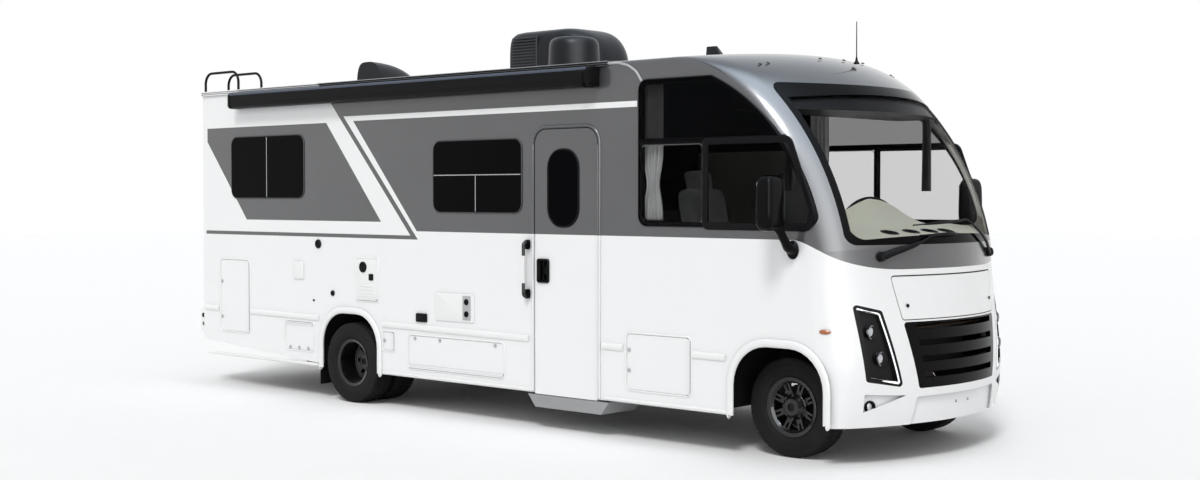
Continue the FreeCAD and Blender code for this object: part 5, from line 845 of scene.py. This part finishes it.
surface("awning_lead_rail", [along_case(case_high[2] - 0.016, -0.003, oval(0.024, 0.014))], lead_rail_painted_highlight)
surface("awning_valance", [along_case(case_low[2] + 0.046, -0.002, oval(0.007, 0.008, 8)),
                           along_case(case_low[2] + 0.104, -0.002, oval(0.005, 0.007, 8))], black_gloss)
case_outline = end_outline(0.004, case_low[2] - 0.003, case_high[2] + 0.003, [0.035, 0.004, 0.004, 0.035])
block_outline = end_outline(0.010, case_low[2] - 0.008, case_low[2] + 0.120, [0.03, 0.004, 0.004, 0.02])
surface("awning_caps", [plate(case_outline, upright(case_low[0] + 0.028, -1), 0.036, 0.008),
                        plate(case_outline, upright(case_high[0] - 0.028, 1), 0.036, 0.008),
                        plate(block_outline, upright(case_high[0] - 0.100, 1), 0.046, 0.006)], black_satin)

# Roof units: moulded charcoal shrouds screwed to the roof on foam seals. The cooler has a slatted box
# for its tail and a smooth rounded nose; the fan has a round dome, the vent an arched hood.
charcoal = moulded("charcoal", (0.0075, 0.008, 0.010), 0.34, grain=220.0, depth=0.0008,
                   fixed={"Specular IOR Level": 0.20})
slat_grey = moulded("slat_grey", (0.055, 0.058, 0.064), 0.36, fixed=dim)
cooler_low, cooler_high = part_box("air_conditioner")
cooler_tail, cooler_nose = cooler_low[0] + 0.004, cooler_high[0] - 0.070
shoulder = cooler_tail + 0.60
roof_z, cooler_top, cooler_half, nose_bow, nose_fall = 2.985, 3.425, 0.346, 2.6, 2.2


def bulge(wave, power):
    """Sine or cosine raised to a power, with its sign kept."""
    return np.sign(wave) * np.abs(wave) ** power


def cooler_shroud():
    """Rounded-box sections, y = w |cos|^p and z = foot + h |sin|^p, whose width and height stay all
    but whole over the tail and fall over the nose as superellipses."""
    box_x = np.concatenate([[0, 0, 0.012, 0.035], np.linspace(0.06, 1, 8)]) * (shoulder - cooler_tail)
    nose_x = shoulder + np.sin(np.linspace(0, np.pi / 2, 22))[1:] * (cooler_nose - shoulder)
    x = np.concatenate([cooler_tail + box_x, nose_x, [cooler_nose]])
    past = np.clip((x - shoulder) / (cooler_nose - shoulder), 0, 1)
    start = np.clip((x - cooler_tail) / 0.05, 0, 1)
    width = np.maximum(1 - past ** nose_bow, 0) ** (1 / nose_bow) * cooler_half * (0.965 + 0.035 * start)
    height = np.maximum(1 - past ** nose_fall, 0) ** (1 / nose_fall) * (cooler_top - roof_z)
    height *= 0.955 + 0.045 * start
    width[[0, -1]], height[[0, -1]] = 0, 0
    turn = np.linspace(0, np.pi, 61)[None]
    power = (0.30 + 0.34 * past)[:, None]
    return points(x[:, None], width[:, None] * bulge(np.cos(turn), power),
                  roof_z + height[:, None] * np.sin(turn) ** power), False, True


surface("cooler_shroud", [cooler_shroud()], charcoal, replaces="air_conditioner")
slats = [carried(points(cooler_tail + 0.350, side * 0.345, np.linspace(3.06, 3.375, 8)),
                 oval(0.020, 0.016, 10), (0, side, 0)) for side in (-1, 1)]
for level in np.arange(3.085, 3.37, 0.027):
    slats += [carried(points(np.linspace(cooler_tail + 0.045, cooler_tail + 0.335, 14), side * 0.3462, level),
                      oval(0.013, 0.014, 10), (0, side, 0)) for side in (-1, 1)]
    slats.append(carried(points(cooler_tail - 0.001, np.linspace(-0.28, 0.28, 24), level),
                         oval(0.013, 0.010, 10), (-1, 0, 0)))
surface("cooler_slats", slats, slat_grey)

fan_x, fan_y = axle - 2.445, -0.70
dome = [(0.0, 0.0), (0.0, 0.222), (0.012, 0.224), (0.016, 0.220), (0.10, 0.217), (0.19, 0.213),
        (0.225, 0.206), (0.248, 0.190), (0.260, 0.168), (0.266, 0.14), (0.268, 0.08), (0.269, 0.0)]
collar = [(0.0, 0.0), (0.0, 0.262), (0.026, 0.262), (0.044, 0.250), (0.052, 0.226), (0.052, 0.0)]
surface("fan_dome", [turned(dome, (fan_x, fan_y, 3.0), (0, 0, 1), 72)], charcoal, replaces="roof_vents")
surface("fan_collar", [turned(collar, (fan_x, fan_y, 2.968), (0, 0, 1), 64)], black_satin)


vent_x, vent_y, vent_half, vent_rise, vent_run = axle - 5.255, -0.62, 0.186, 0.245, 0.60


def vent_hood():
    """Arched sections across x, upright behind and round in front, that narrow inboard and sink as
    the root of one less a power of the share."""
    share = np.concatenate([[0, 0, 0.02], np.linspace(0.05, 1, 20), [1.0]])
    width = vent_half * (1 - 0.42 * share ** 1.5)
    height = vent_rise * np.sqrt(np.maximum(1 - (0.93 * share) ** 2.4, 0))
    width[[0, -1]], height[[0, -1]] = 0, 0
    share, width, height = share[:, None], width[:, None], height[:, None]
    turn = np.linspace(0, np.pi, 41)[None]
    power = np.where(np.cos(turn) < 0, 0.42, 0.92)
    return points(vent_x - 0.07 * share + width * bulge(np.cos(turn), power), vent_y + share * vent_run,
                  roof_z + height * np.sin(turn) ** 0.8), False, True


def shark_fin():
    """Oval sections that shorten and thin upwards: half width falls as the root of what is left."""
    share = np.concatenate([[0], np.linspace(0, 1, 16), [1.0]])[:, None]
    back, front = axle - 1.262 + 0.010 * share, axle - 1.040 - 0.105 * share ** 1.4
    width = 0.036 * np.sqrt(1 - share * 0.96)
    width[[0, -1]] = 0
    turn = circle(24)[None]
    x = (front + back) / 2 + (front - back) / 2 * (width > 0) * np.cos(turn)
    return points(x, -0.40 + width * np.sin(turn), roof_z + share * 0.150), False, True


surface("vent_hood", [vent_hood()], charcoal, replaces="roof_vents")
surface("shark_fin", [shark_fin()], charcoal, replaces="roof_vents")
rod_profile = [(0, 0), (0, 0.024), (0.010, 0.023), (0.022, 0.012), (0.050, 0.007), (0.060, 0.0045),
               (0.330, 0.0035), (0.334, 0.0)]
surface("radio_mast", [turned(rod_profile, (axle - 0.08, 0.0, 2.954), (0, 0, 1), 20)], black_satin)

# Mirrors: moulded gloss black heads on cast arms, each with a large flat glass and a small wide-angle
# one below it, bonded into the rear face.
head_x, head_y, head_z = axle + 0.130, 1.42, 1.873
head_deep, head_wide, head_tall = 0.068, 0.1045, 0.200


def tapered(path, wide, tall, up, count=12):
    """Oval section carried along a path while its width and height change from row to row."""
    turn = circle(count)[None, :, None]
    ahead = unit(np.gradient(path, axis=0))
    side = unit(np.cross(ahead, np.broadcast_to(up, path.shape)))
    rise = np.cross(side, ahead)
    wide, tall = (np.broadcast_to(size, len(path))[:, None, None] / 2 for size in (wide, tall))
    return capped(path[:, None] + side[:, None] * (np.cos(turn) * wide)
                  + rise[:, None] * (np.sin(turn) * tall)), False, True


def mirror_head(side):
    """Head: rounded-box sections in plan, x = a |cos|^p and y = b |sin|^q with their signs, that close
    in at both ends as a power of one less the share to the fifth, a little wider at the foot."""
    share = np.sin(np.linspace(-np.pi / 2, np.pi / 2, 31))[:, None]
    turn = circle(56)[None]
    size_now = np.maximum(1 - np.abs(share) ** 5, 0) ** 0.30 * (1.0 - 0.035 * share)
    return points(head_x + bulge(np.cos(turn), 0.42) * head_deep * size_now,
                  side * head_y + bulge(np.sin(turn), 0.36) * head_wide * size_now,
                  head_z + head_tall * share), False, True


mirror_parts = []
share = np.linspace(0, 1, 30)
arm_wide = np.interp(share, [0, 0.5, 1], [0.105, 0.072, 0.080])
arm_tall = np.interp(share, [0, 0.5, 1], [0.080, 0.058, 0.062])
for side in (-1, 1):
    arm_run = softened(even([(axle + 0.168, side * 1.194, 1.535), (axle + 0.172, side * 1.262, 1.560),
                             (axle + 0.165, side * 1.320, 1.635), (axle + 0.150, side * 1.370, 1.715)], 30))
    mirror_parts += [mirror_head(side), tapered(arm_run, arm_wide, arm_tall, (0, 0, 1)),
                     jewel((axle + 0.165, side * 1.192, 1.540), (-side, 0, 0), (0, 0, 1), (0.052, 0.068),
                           0.024)]
surface("mirror_set", mirror_parts, black_gloss, replaces="mirrors")
silvering = drifting("mirror_glass", {"Metallic": 1.0}, (0.62, 0.64, 0.66), (0.70, 0.72, 0.74), (0.02, 0.02),
                     (3.0, 3.0), (20.0, 3.0))[0]
for side, word in sides:
    surface("mirror_glass_" + word,
            [plate(box_outline(side * head_y - 0.072, side * head_y + 0.072, foot, top, 0.022),
                   upright(axle + 0.0645, -1), 0.003, 0.001, -0.003)
             for foot, top in ((1.708, 1.812), (1.826, 2.028))], silvering)

# Wipers: cast arms on splined pivots under the windscreen, folded inwards, each with a jointed rubber
# blade that lies on the glass.
wiper_runs = [([(-0.796, 1.490), (-0.700, 1.522), (-0.540, 1.568), (-0.346, 1.636), (-0.160, 1.642)],
               [(-0.434, 1.640), (-0.150, 1.648), (0.116, 1.642)]),
              ([(0.712, 1.486), (0.640, 1.520), (0.420, 1.640), (0.173, 1.752), (-0.170, 1.734)],
               [(0.138, 1.738), (-0.170, 1.732), (-0.480, 1.714)])]
share = np.linspace(0, 1, 44)
lift = 0.016 + 0.022 * np.sin(np.pi * share) ** 0.8
arm_wide = np.interp(share, [0, 0.12, 0.45, 0.55, 1], [0.060, 0.046, 0.032, 0.014, 0.012])
arm_tall = np.interp(share, [0, 0.5, 1], [0.026, 0.014, 0.010])
glass_up = (1, 0, 0.3)
wiper_shapes = []
for arm_spots, blade_spots in wiper_runs:
    arm, blade = softened(even(arm_spots, 44)), softened(even(blade_spots, 40))
    spine = on_nose(blade[6:-6], 0.022)
    bow = np.sin(np.linspace(0, np.pi, len(spine)))
    spine[:, 0] += 0.010 * bow
    wiper_shapes += [tapered(on_nose(arm, lift), arm_wide, arm_tall, glass_up),
                     turned(stud(0.036, 0.040, 0.004), on_nose(arm_spots[0], -0.004), (1, 0, 0.2), 28),
                     tapered(on_nose(blade, 0.011), 0.010, 0.018, glass_up),
                     tapered(spine, 0.012 + 0.012 * bow, 0.006 + 0.004 * bow, glass_up)]
surface("wiper_set", wiper_shapes, black_satin, replaces="wipers")

# Rear bumper, lamps and sills: moulded white bumper with a dark rubber slit and oval side lamps, lamp
# clusters in three colours, and a rounded sill strip riveted along the foot of the skirts.
cluster, cluster_shader, where = new_finish("lamp_cluster", {"Coat Weight": 1.0, "Coat Roughness": 0.04})
_, lens_y, lens_z = where.parts()
cluster_low, cluster_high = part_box("tail_lamps")
band_step = (cluster_high[2] - cluster_low[2]) / 3
grain = noise(where, 120.0)
red_part = grain.mix((0.30, 0.008, 0.006), (0.46, 0.02, 0.014))
clear_part = grain.mix((0.50, 0.50, 0.50), (0.68, 0.68, 0.67))
amber_part = grain.mix((0.55, 0.16, 0.01), (0.70, 0.24, 0.02))
lower = (lens_z > cluster_low[2] + band_step).mix(clear_part, amber_part)
where.put(cluster_shader.inputs["Base Color"],
          (lens_z > cluster_low[2] + 2 * band_step).mix(lower, red_part))
where.put(cluster_shader.inputs["Roughness"], grain * 0.1 + 0.08)
where.put(cluster_shader.inputs["Normal"], bumped(where, (lens_y * 620.0).maths("SINE"), 0.0006, 0.5))
dress(cluster, "tail_lamps")

bumper_low, bumper_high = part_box("rear_bumper")
bezels, side_lamps = [], []
slits = [carried(points(bumper_low[0] + 0.001, np.linspace(-1.02, 1.02, 30), bumper_high[2] - 0.035),
                 oval(0.022, 0.008), (-1, 0, 0))]
slit_outline = box_outline(bumper_low[0] + 0.062, bumper_high[0] - 0.014, 0.668, 0.712, 0.018)
for side in (-1, 1):
    middle = side * (cluster_high[1] - 0.05)
    ring = box_outline(middle - 0.058, middle + 0.058, cluster_low[2] - 0.008, cluster_high[2] + 0.008, 0.012)
    bezels.append(carried(points(cluster_high[0] - 0.004, ring[:, 0], ring[:, 1]), oval(0.016, 0.030),
                          (-1, 0, 0), ring=True))
    slits.append(plate(slit_outline, lambda spots, out: points(spots[..., 0], side * (bumper_high[1] + out),
                                                               spots[..., 1]), 0.003, 0.001, -0.002))
    side_lamps.append(jewel((bumper_low[0] + 0.098, side * bumper_high[1], 0.602), (-side, 0, 0), (0, 0, 1),
                            (0.030, 0.019), 0.008))
surface("lamp_bezels", bezels, black_satin)
surface("bumper_slits", slits, black_satin)
surface("bumper_side_lamps", side_lamps, smoked)

sill_runs = {-1: [(-7.18, -5.315), (-4.375, -2.455), (-1.675, -0.42)], 1: [(-7.18, -5.315), (-4.375, -0.42)]}
ends = np.interp(np.linspace(0, 1, 30), [0, 0.03, 0.97, 1], [0.5, 1, 1, 0.5])
for side, word in sides:
    surface("sill_strip_" + word,
            [tapered(points(np.linspace(axle + start, axle + end, 30), side * (half - 0.002), 0.318),
                     0.032 * ends, 0.022 * ends, (0, side, 0), 14) for start, end in sill_runs[side]],
            moulding)
surface("tow_plugs", [turned(stud(0.011, 0.004, 0.002), on_nose((y, 0.410), -0.0225), (1, 0, 0), 20)
                      for y in (-0.085, 0.085)], black_satin)

# Dashboard: a moulded beige cover over the front of the dash, with a ledge of oval air vents along the
# foot of the windscreen and a raised cowl for the instruments.
dash_beige = moulded("dash_beige", (0.50, 0.51, 0.43), 0.58, grain=500.0, depth=0.0006, spread=0.04)
dress(dash_beige, "dash")
dress(black_satin, "overhead_locker")
dress(moulded("wheel_leather", (0.012, 0.012, 0.013), 0.5, grain=900.0, depth=0.0008, fixed=dim),
      "steering_wheel")
crease_x, cowl_x, louvre_x = axle + 0.35, axle + 0.128, axle + 0.475
ledge_foot, ledge_rise, cowl_rise, crown_rise, crease_size = 1.604, 0.078, 0.022, 0.196, 0.012
dash_half, dash_foot, crown_y, crown_reach = 1.035, 1.50, -0.09, 0.84


def glass_foot(y):
    """Station of the cover's front edge at the foot of the glass, drawn back across the coach."""
    return axle + 0.742 - y ** 2 / cap_sweep


def dash_level(x, y):
    """Height of the cover: a ledge that climbs from the glass to a crease, then a cowl whose crown is
    a squared cosine across the coach and eases in along it."""
    front = glass_foot(y)
    ledge = ledge_foot + ledge_rise * np.clip((front - x) / (front - crease_x), 0, 1)
    share = np.clip((crease_x - x) / (crease_x - cowl_x), 0, 1)
    crown = np.cos(np.clip(np.abs(y - crown_y) / crown_reach, 0, 1) * np.pi / 2) ** 2
    crease = crease_size * np.exp(-((x - crease_x) / crease_size) ** 2)
    return ledge + share ** 1.2 * (cowl_rise + crown_rise * crown) - crease


def dash_cover():
    """Rows from the glass back to the cowl's edge and down its rear, on the height above."""
    y = np.linspace(-dash_half, dash_half, 121)[None]
    share = np.concatenate([np.linspace(0, 0.62, 26), np.linspace(0.63, 1, 26)])[:, None]
    front = glass_foot(y)
    x = front + (cowl_x - front) * share
    rear_back = np.array([0.008, 0.014, 0.016, 0.016, 0.016])[:, None]
    rear_drop = np.array([0.004, 0.016, 0.06, 0.14, 0.26])[:, None]
    rear_z = np.maximum(dash_level(cowl_x + 0 * y, y) - rear_drop, dash_foot)
    under = points(front, y, dash_foot)
    rows = np.concatenate([under, points(front, y, dash_foot + 0.045), points(x, y, dash_level(x, y)),
                           points(cowl_x - rear_back, y, rear_z), under])
    ends = np.broadcast_to(rows[:, [0, -1]].mean(axis=0), (len(rows), 2, 3))
    return np.concatenate([ends[:, :1], rows, ends[:, 1:]], axis=1), False, False


def dash_vent(y):
    """Oval louvre lying on the ledge, its long side across the coach."""
    turn = circle(40)[None]
    share = np.array([1.12, 1.12, 1.0, 0.9, 0.86, 0.0])[:, None]
    lift = np.array([-0.004, 0.004, 0.007, 0.004, 0.001, 0.001])[:, None]
    x, y = louvre_x + 0.058 * np.cos(turn) * share, y + 0.072 * np.sin(turn) * share
    return points(x, y, dash_level(x, y) + lift), False, True


surface("dash_cover", [dash_cover()], dash_beige)
vane_stations, vent_spots = louvre_x + np.linspace(-0.04, 0.04, 7), (-0.40, -0.10, 0.17, 0.42)
vane_spots = [y + shift for y in vent_spots for shift in (-0.03, 0.0, 0.03)]
surface("dash_vents", [dash_vent(y) for y in vent_spots]
        + [carried(points(vane_stations, y, dash_level(vane_stations, y) + 0.004), oval(0.004, 0.004, 8),
                   (0, 0, 1)) for y in vane_spots], black_satin)
hood_y = np.linspace(-0.40, 0.24, 40)
hood_z = 1.790 + 0.122 * np.cos((hood_y + 0.08) / 0.33 * np.pi / 2) ** 0.7
surface("instrument_hood", [carried(points(cowl_x - 0.026, hood_y, hood_z), oval(0.018, 0.050, 14),
                                    (1, 0, 0))], black_satin)

# Cab seats: foam cushions and backs in grey cloth with sewn channels, headrests on steel posts, and a
# boxed steel pedestal under each.


def woven(name, fixed, pitch, weave_share, fade_scale, dark, light, rough, strength):
    """Upholstery cloth: the product of two sines is its weave, over a slow fade of colour."""
    made, shader, where = new_finish(name, fixed)
    x, y, z = where.parts()
    weave = (x * pitch).maths("SINE") * ((z + y) * pitch).maths("SINE")
    fade = noise(where, fade_scale, 4.0)
    where.put(shader.inputs["Base Color"], (weave * weave_share + fade).mix(dark, light))
    where.put(shader.inputs["Roughness"], fade * 0.1 + rough)
    where.put(shader.inputs["Normal"], bumped(where, weave, 0.0006, strength))
    return made


def pad(centre, along, across_way, size, crown, channels=0):
    """Crowned pad: a slab whose faces swell as the root of (1 - u^4) (1 - v^4), whose sides draw in
    between rounded corners, and whose upper face sinks in sewn channels across its length."""
    along, across_way = unit(along), unit(across_way)
    out = np.cross(along, across_way)
    u = np.sin(np.linspace(-np.pi / 2, np.pi / 2, 37))[:, None]
    v = np.sin(np.linspace(-np.pi / 2, np.pi / 2, 33))[None]
    edge = 0.965
    nip = 1 - 0.13 * (u * v) ** 6
    long_now = u * size[0] / 2 * (edge + (1 - edge) * v ** 2) * nip
    wide_now = v * size[1] / 2 * (edge + (1 - edge) * u ** 2) * nip
    swell = (1 - u ** 4) ** 0.5 * (1 - v ** 4) ** 0.5
    groove = np.zeros_like(swell)
    for i in range(channels):
        spot = (i + 1) / (channels + 1) * 1.5 - 0.75
        groove = groove + np.exp(-((u - spot) / 0.035) ** 2) * (np.abs(v) < 0.93)
    thick = size[2] / 2 * swell ** 0.45
    flat_part = np.asarray(centre) + along * long_now[..., None] + across_way * wide_now[..., None]
    upper = flat_part + out * (thick + crown * swell - groove * 0.010 * swell)[..., None]
    return [(upper, False, False), (flat_part - out * thick[..., None], False, False)]


def cushion(name, grids, finish, replaces):
    """One padded piece."""
    surface(name, grids, finish, replaces=replaces)


seat_cloth = woven("seat_cloth", {"Sheen Weight": 0.3, "Specular IOR Level": 0.2}, 2600.0, 0.2, 6.0,
                   (0.060, 0.062, 0.065), (0.13, 0.132, 0.135), 0.82, 0.6)
seat_x, lean = axle - 0.69, (-0.21, 0, 1)
post_spots = [(axle - 1.140, 1.93), (axle - 1.152, 1.99), (axle - 1.162, 2.04)]
pedestal_rows = np.array([(1.285, 0.19), (1.285, 0.20), (1.27, 0.205), (1.00, 0.205), (0.975, 0.225),
                          (0.951, 0.225)])[:, :, None]
outline = box_outline(-1, 1, -1, 1, 0.2)
for side, word in sides:
    y = side * 0.62
    for name, grids in (("seat_cushion_", pad((seat_x, y, 1.345), (1, 0, 0.04), (0, 1, 0),
                                              (0.50, 0.52, 0.12), 0.018, 3)),
                        ("seat_back_", pad((axle - 1.085, y, 1.695), lean, (0, -1, 0),
                                           (0.60, 0.52, 0.12), 0.020, 4)),
                        ("headrest_", pad((axle - 1.160, y, 2.045), lean, (0, -1, 0),
                                          (0.16, 0.27, 0.09), 0.014))):
        cushion(name + word, grids, seat_cloth, "cab_seats")
    posts = [carried([(x, y + shift, z) for x, z in post_spots], oval(0.012, 0.012), (1, 0, 0))
             for shift in (-0.06, 0.06)]
    pedestal = points(seat_x + outline[:, 0] * pedestal_rows[:, 1], y + outline[:, 1] * pedestal_rows[:, 1],
                      pedestal_rows[:, 0])
    surface("seat_frame_" + word, posts + [(capped(pedestal), False, True)], black_satin,
            replaces="cab_seats")

# Bench: a sofa behind the driver, with a seat and a back pad in pale beige cloth on a boxed plywood
# base.
bench_cloth = woven("bench_cloth", {"Sheen Weight": 0.2, "Specular IOR Level": 0.25}, 2100.0, 0.15, 5.0,
                    (0.40, 0.38, 0.31), (0.56, 0.54, 0.45), 0.8, 0.5)
cabinet = moulded("cabinet_board", (0.10, 0.072, 0.052), 0.5, grain=60.0, spread=0.2)
bench_low, bench_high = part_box("bench")
bench_x, bench_y = (bench_low[0] + bench_high[0]) / 2, (bench_low[1] + bench_high[1]) / 2
for name, grids in (("bench_seat", pad((bench_x + 0.07, bench_y, 1.372), (1, 0, 0), (0, 1, 0),
                                       (0.68, 0.57, 0.10), 0.012, 1)),
                    ("bench_rest", pad((bench_low[0] + 0.075, bench_y, 1.64), (-0.05, 0, 1), (0, -1, 0),
                                       (0.40, 0.57, 0.10), 0.014, 1))):
    cushion(name, grids, bench_cloth, "bench")


def board(high_x, radius, foot, rise, edge):
    """Slab standing on the floor, within the bench's own box."""
    outline = box_outline(bench_low[0] + 0.004, high_x, bench_low[1] + 0.004, bench_high[1] - 0.004, radius)
    return plate(outline, lambda spots, out: points(spots[..., 0], spots[..., 1], foot + out), rise, edge)


surface("bench_base", [board(bench_high[0] - 0.004, 0.02, 0.951, 0.365, 0.01),
                       board(bench_low[0] + 0.030, 0.006, 1.31, 0.53, 0.004)], cabinet,
        replaces="bench")

# Curtains: light grey cloth gathered and tied back at the cab side windows, and dark pleated cloth at
# the ends of the windscreen, each hung from a track above.


def curtain_cloth(name, dark, light):
    """Curtain cloth: a fine noise for its threads over a slow fade of colour."""
    made, shader, where = new_finish(name, {"Sheen Weight": 0.25, "Specular IOR Level": 0.15})
    slow = noise(where, 9.0, 4.0)
    where.put(shader.inputs["Base Color"], (noise(where, 900.0, 1.0) * 0.3 + slow).mix(dark, light))
    where.put(shader.inputs["Roughness"], slow * 0.1 + 0.84)
    where.put(shader.inputs["Normal"], bumped(where, noise(where, 1400.0, 2.0), 0.0004, 0.5))
    return made


def pleats(middle, wide, depth, foot, top, waves, tie=None, waist=1.0, seed=1):
    """Hanging cloth: x runs along the track, y swings as a sine whose phase drifts with height, and
    the width narrows to the waist at the tie as a bell curve."""
    phase = np.random.default_rng(seed).uniform(0, 6.28, 3)
    across = np.linspace(-0.5, 0.5, waves * 14 + 1)[None]
    z = np.linspace(top, foot, 61)[:, None]
    narrow = 1 - (1 - waist) * (0 if tie is None else np.exp(-((z - tie) / 0.13) ** 2))
    drift = 0.5 * np.sin((top - z) * 2.3 + phase[0]) + 0.6 * across * np.sin((top - z) * 4.1 + phase[1])
    deeper = depth * (0.75 + 0.25 * np.sin(across * 9 + phase[2])) * (0.8 + 0.2 * (top - z) / (top - foot))
    swing = deeper * np.sin(across * 2 * np.pi * waves + drift) * (0.55 + 0.45 * narrow)
    return points(middle[0] + across * wide * narrow, middle[1] + swing, z), False, False


def hang(name, grid, finish):
    """One curtain: the cloth's middle surface, thickened by a millimetre."""
    piece = surface(name, [grid], finish, replaces="curtains")
    wall = piece.modifiers.new("cloth", "SOLIDIFY")
    wall.thickness, wall.offset = 0.0012, 0.0


pale_cloth = curtain_cloth("curtain_pale", (0.50, 0.505, 0.51), (0.72, 0.725, 0.73))
dark_cloth = curtain_cloth("curtain_dark", (0.012, 0.012, 0.013), (0.035, 0.035, 0.037))
wall_gap, tie_height, tied_waist = 0.034, 2.02, 0.60
for side, word in sides:
    hang("side_curtain_" + word,
         pleats((axle - 1.195, side * (half - wall_thick - wall_gap)), 0.185, 0.029, 1.735, 2.790, 5,
                tie_height, tied_waist, 5 + side), pale_cloth)
    hang("screen_curtain_" + word, pleats((axle - 0.025, side * 0.97), 0.070, 0.040, 1.965, 2.555, 4,
                                          seed=9 + side), dark_cloth)

# Chassis and bays: black painted rails and brackets, bare castings that have begun to rust, a heat
# stained exhaust, felt-faced wheel liners, pale moulded bays and a wood-look floor covering.
dress(moulded("chassis_black", (0.014, 0.014, 0.015), 0.5, grain=90.0, depth=0.0012, spread=0.3, fixed=dim),
      "frame_rails", "front_axle", "rear_axle", "springs", "tanks", "knuckle_left", "knuckle_right")
dress(moulded("felt_black", (0.008, 0.008, 0.008), 0.85, grain=700.0, depth=0.0012, spread=0.25, fixed=dim),
      "wheel_liners")
dress(moulded("bay_grey", (0.30, 0.305, 0.31), 0.6, grain=160.0, depth=0.0008),
      "storage_bays_right", "storage_bays_left", "entry_steps")


def metal(name, dark, light, rough, metallic, scale):
    """Bare metal: two tones in patches, rougher where darker, over a sand-cast grain."""
    made, shader, where = new_finish(name, {"Specular IOR Level": 0.3})
    patches = noise(where, scale, 6.0)
    where.put(shader.inputs["Base Color"], patches.mix(dark, light))
    where.put(shader.inputs["Metallic"], patches * 0.3 + (metallic - 0.15))
    where.put(shader.inputs["Roughness"], rough + 0.1 - patches * 0.2)
    where.put(shader.inputs["Normal"], bumped(where, noise(where, 180.0, 4.0), 0.0010, 0.4))
    return made


dress(metal("rusting_iron", (0.055, 0.030, 0.020), (0.12, 0.11, 0.105), 0.65, 0.4, 14.0), "engine")
dress(metal("exhaust_steel", (0.16, 0.11, 0.075), (0.36, 0.34, 0.32), 0.4, 0.8, 6.0), "exhaust")

planks, planks_shader, where = new_finish("floor_covering", {"Specular IOR Level": 0.3})
_, board_y, floor_z = where.parts()
boards = board_y * (1 / 0.14)
stretched = where.node("Mapping", {}, {"Vector": where, "Scale": (1.5, 26.0, 1.0)})
streaks = noise(stretched, 3.0, 6.0)
tone = (boards.maths("FLOOR") * 0.37).maths("FRACT") * 0.35 + streaks * 0.65
seam = abs(boards.maths("FRACT") - 0.5) > 0.488
wood = seam.mix(tone.mix((0.10, 0.060, 0.036), (0.26, 0.175, 0.11)), (0.03, 0.02, 0.014))
where.put(planks_shader.inputs["Base Color"], (floor_z > 0.944).mix((0.016, 0.016, 0.016), wood))
where.put(planks_shader.inputs["Roughness"], streaks * 0.15 + 0.35)
where.put(planks_shader.inputs["Normal"], bumped(where, streaks, 0.0008, 0.3))
dress(planks, "house_floor")
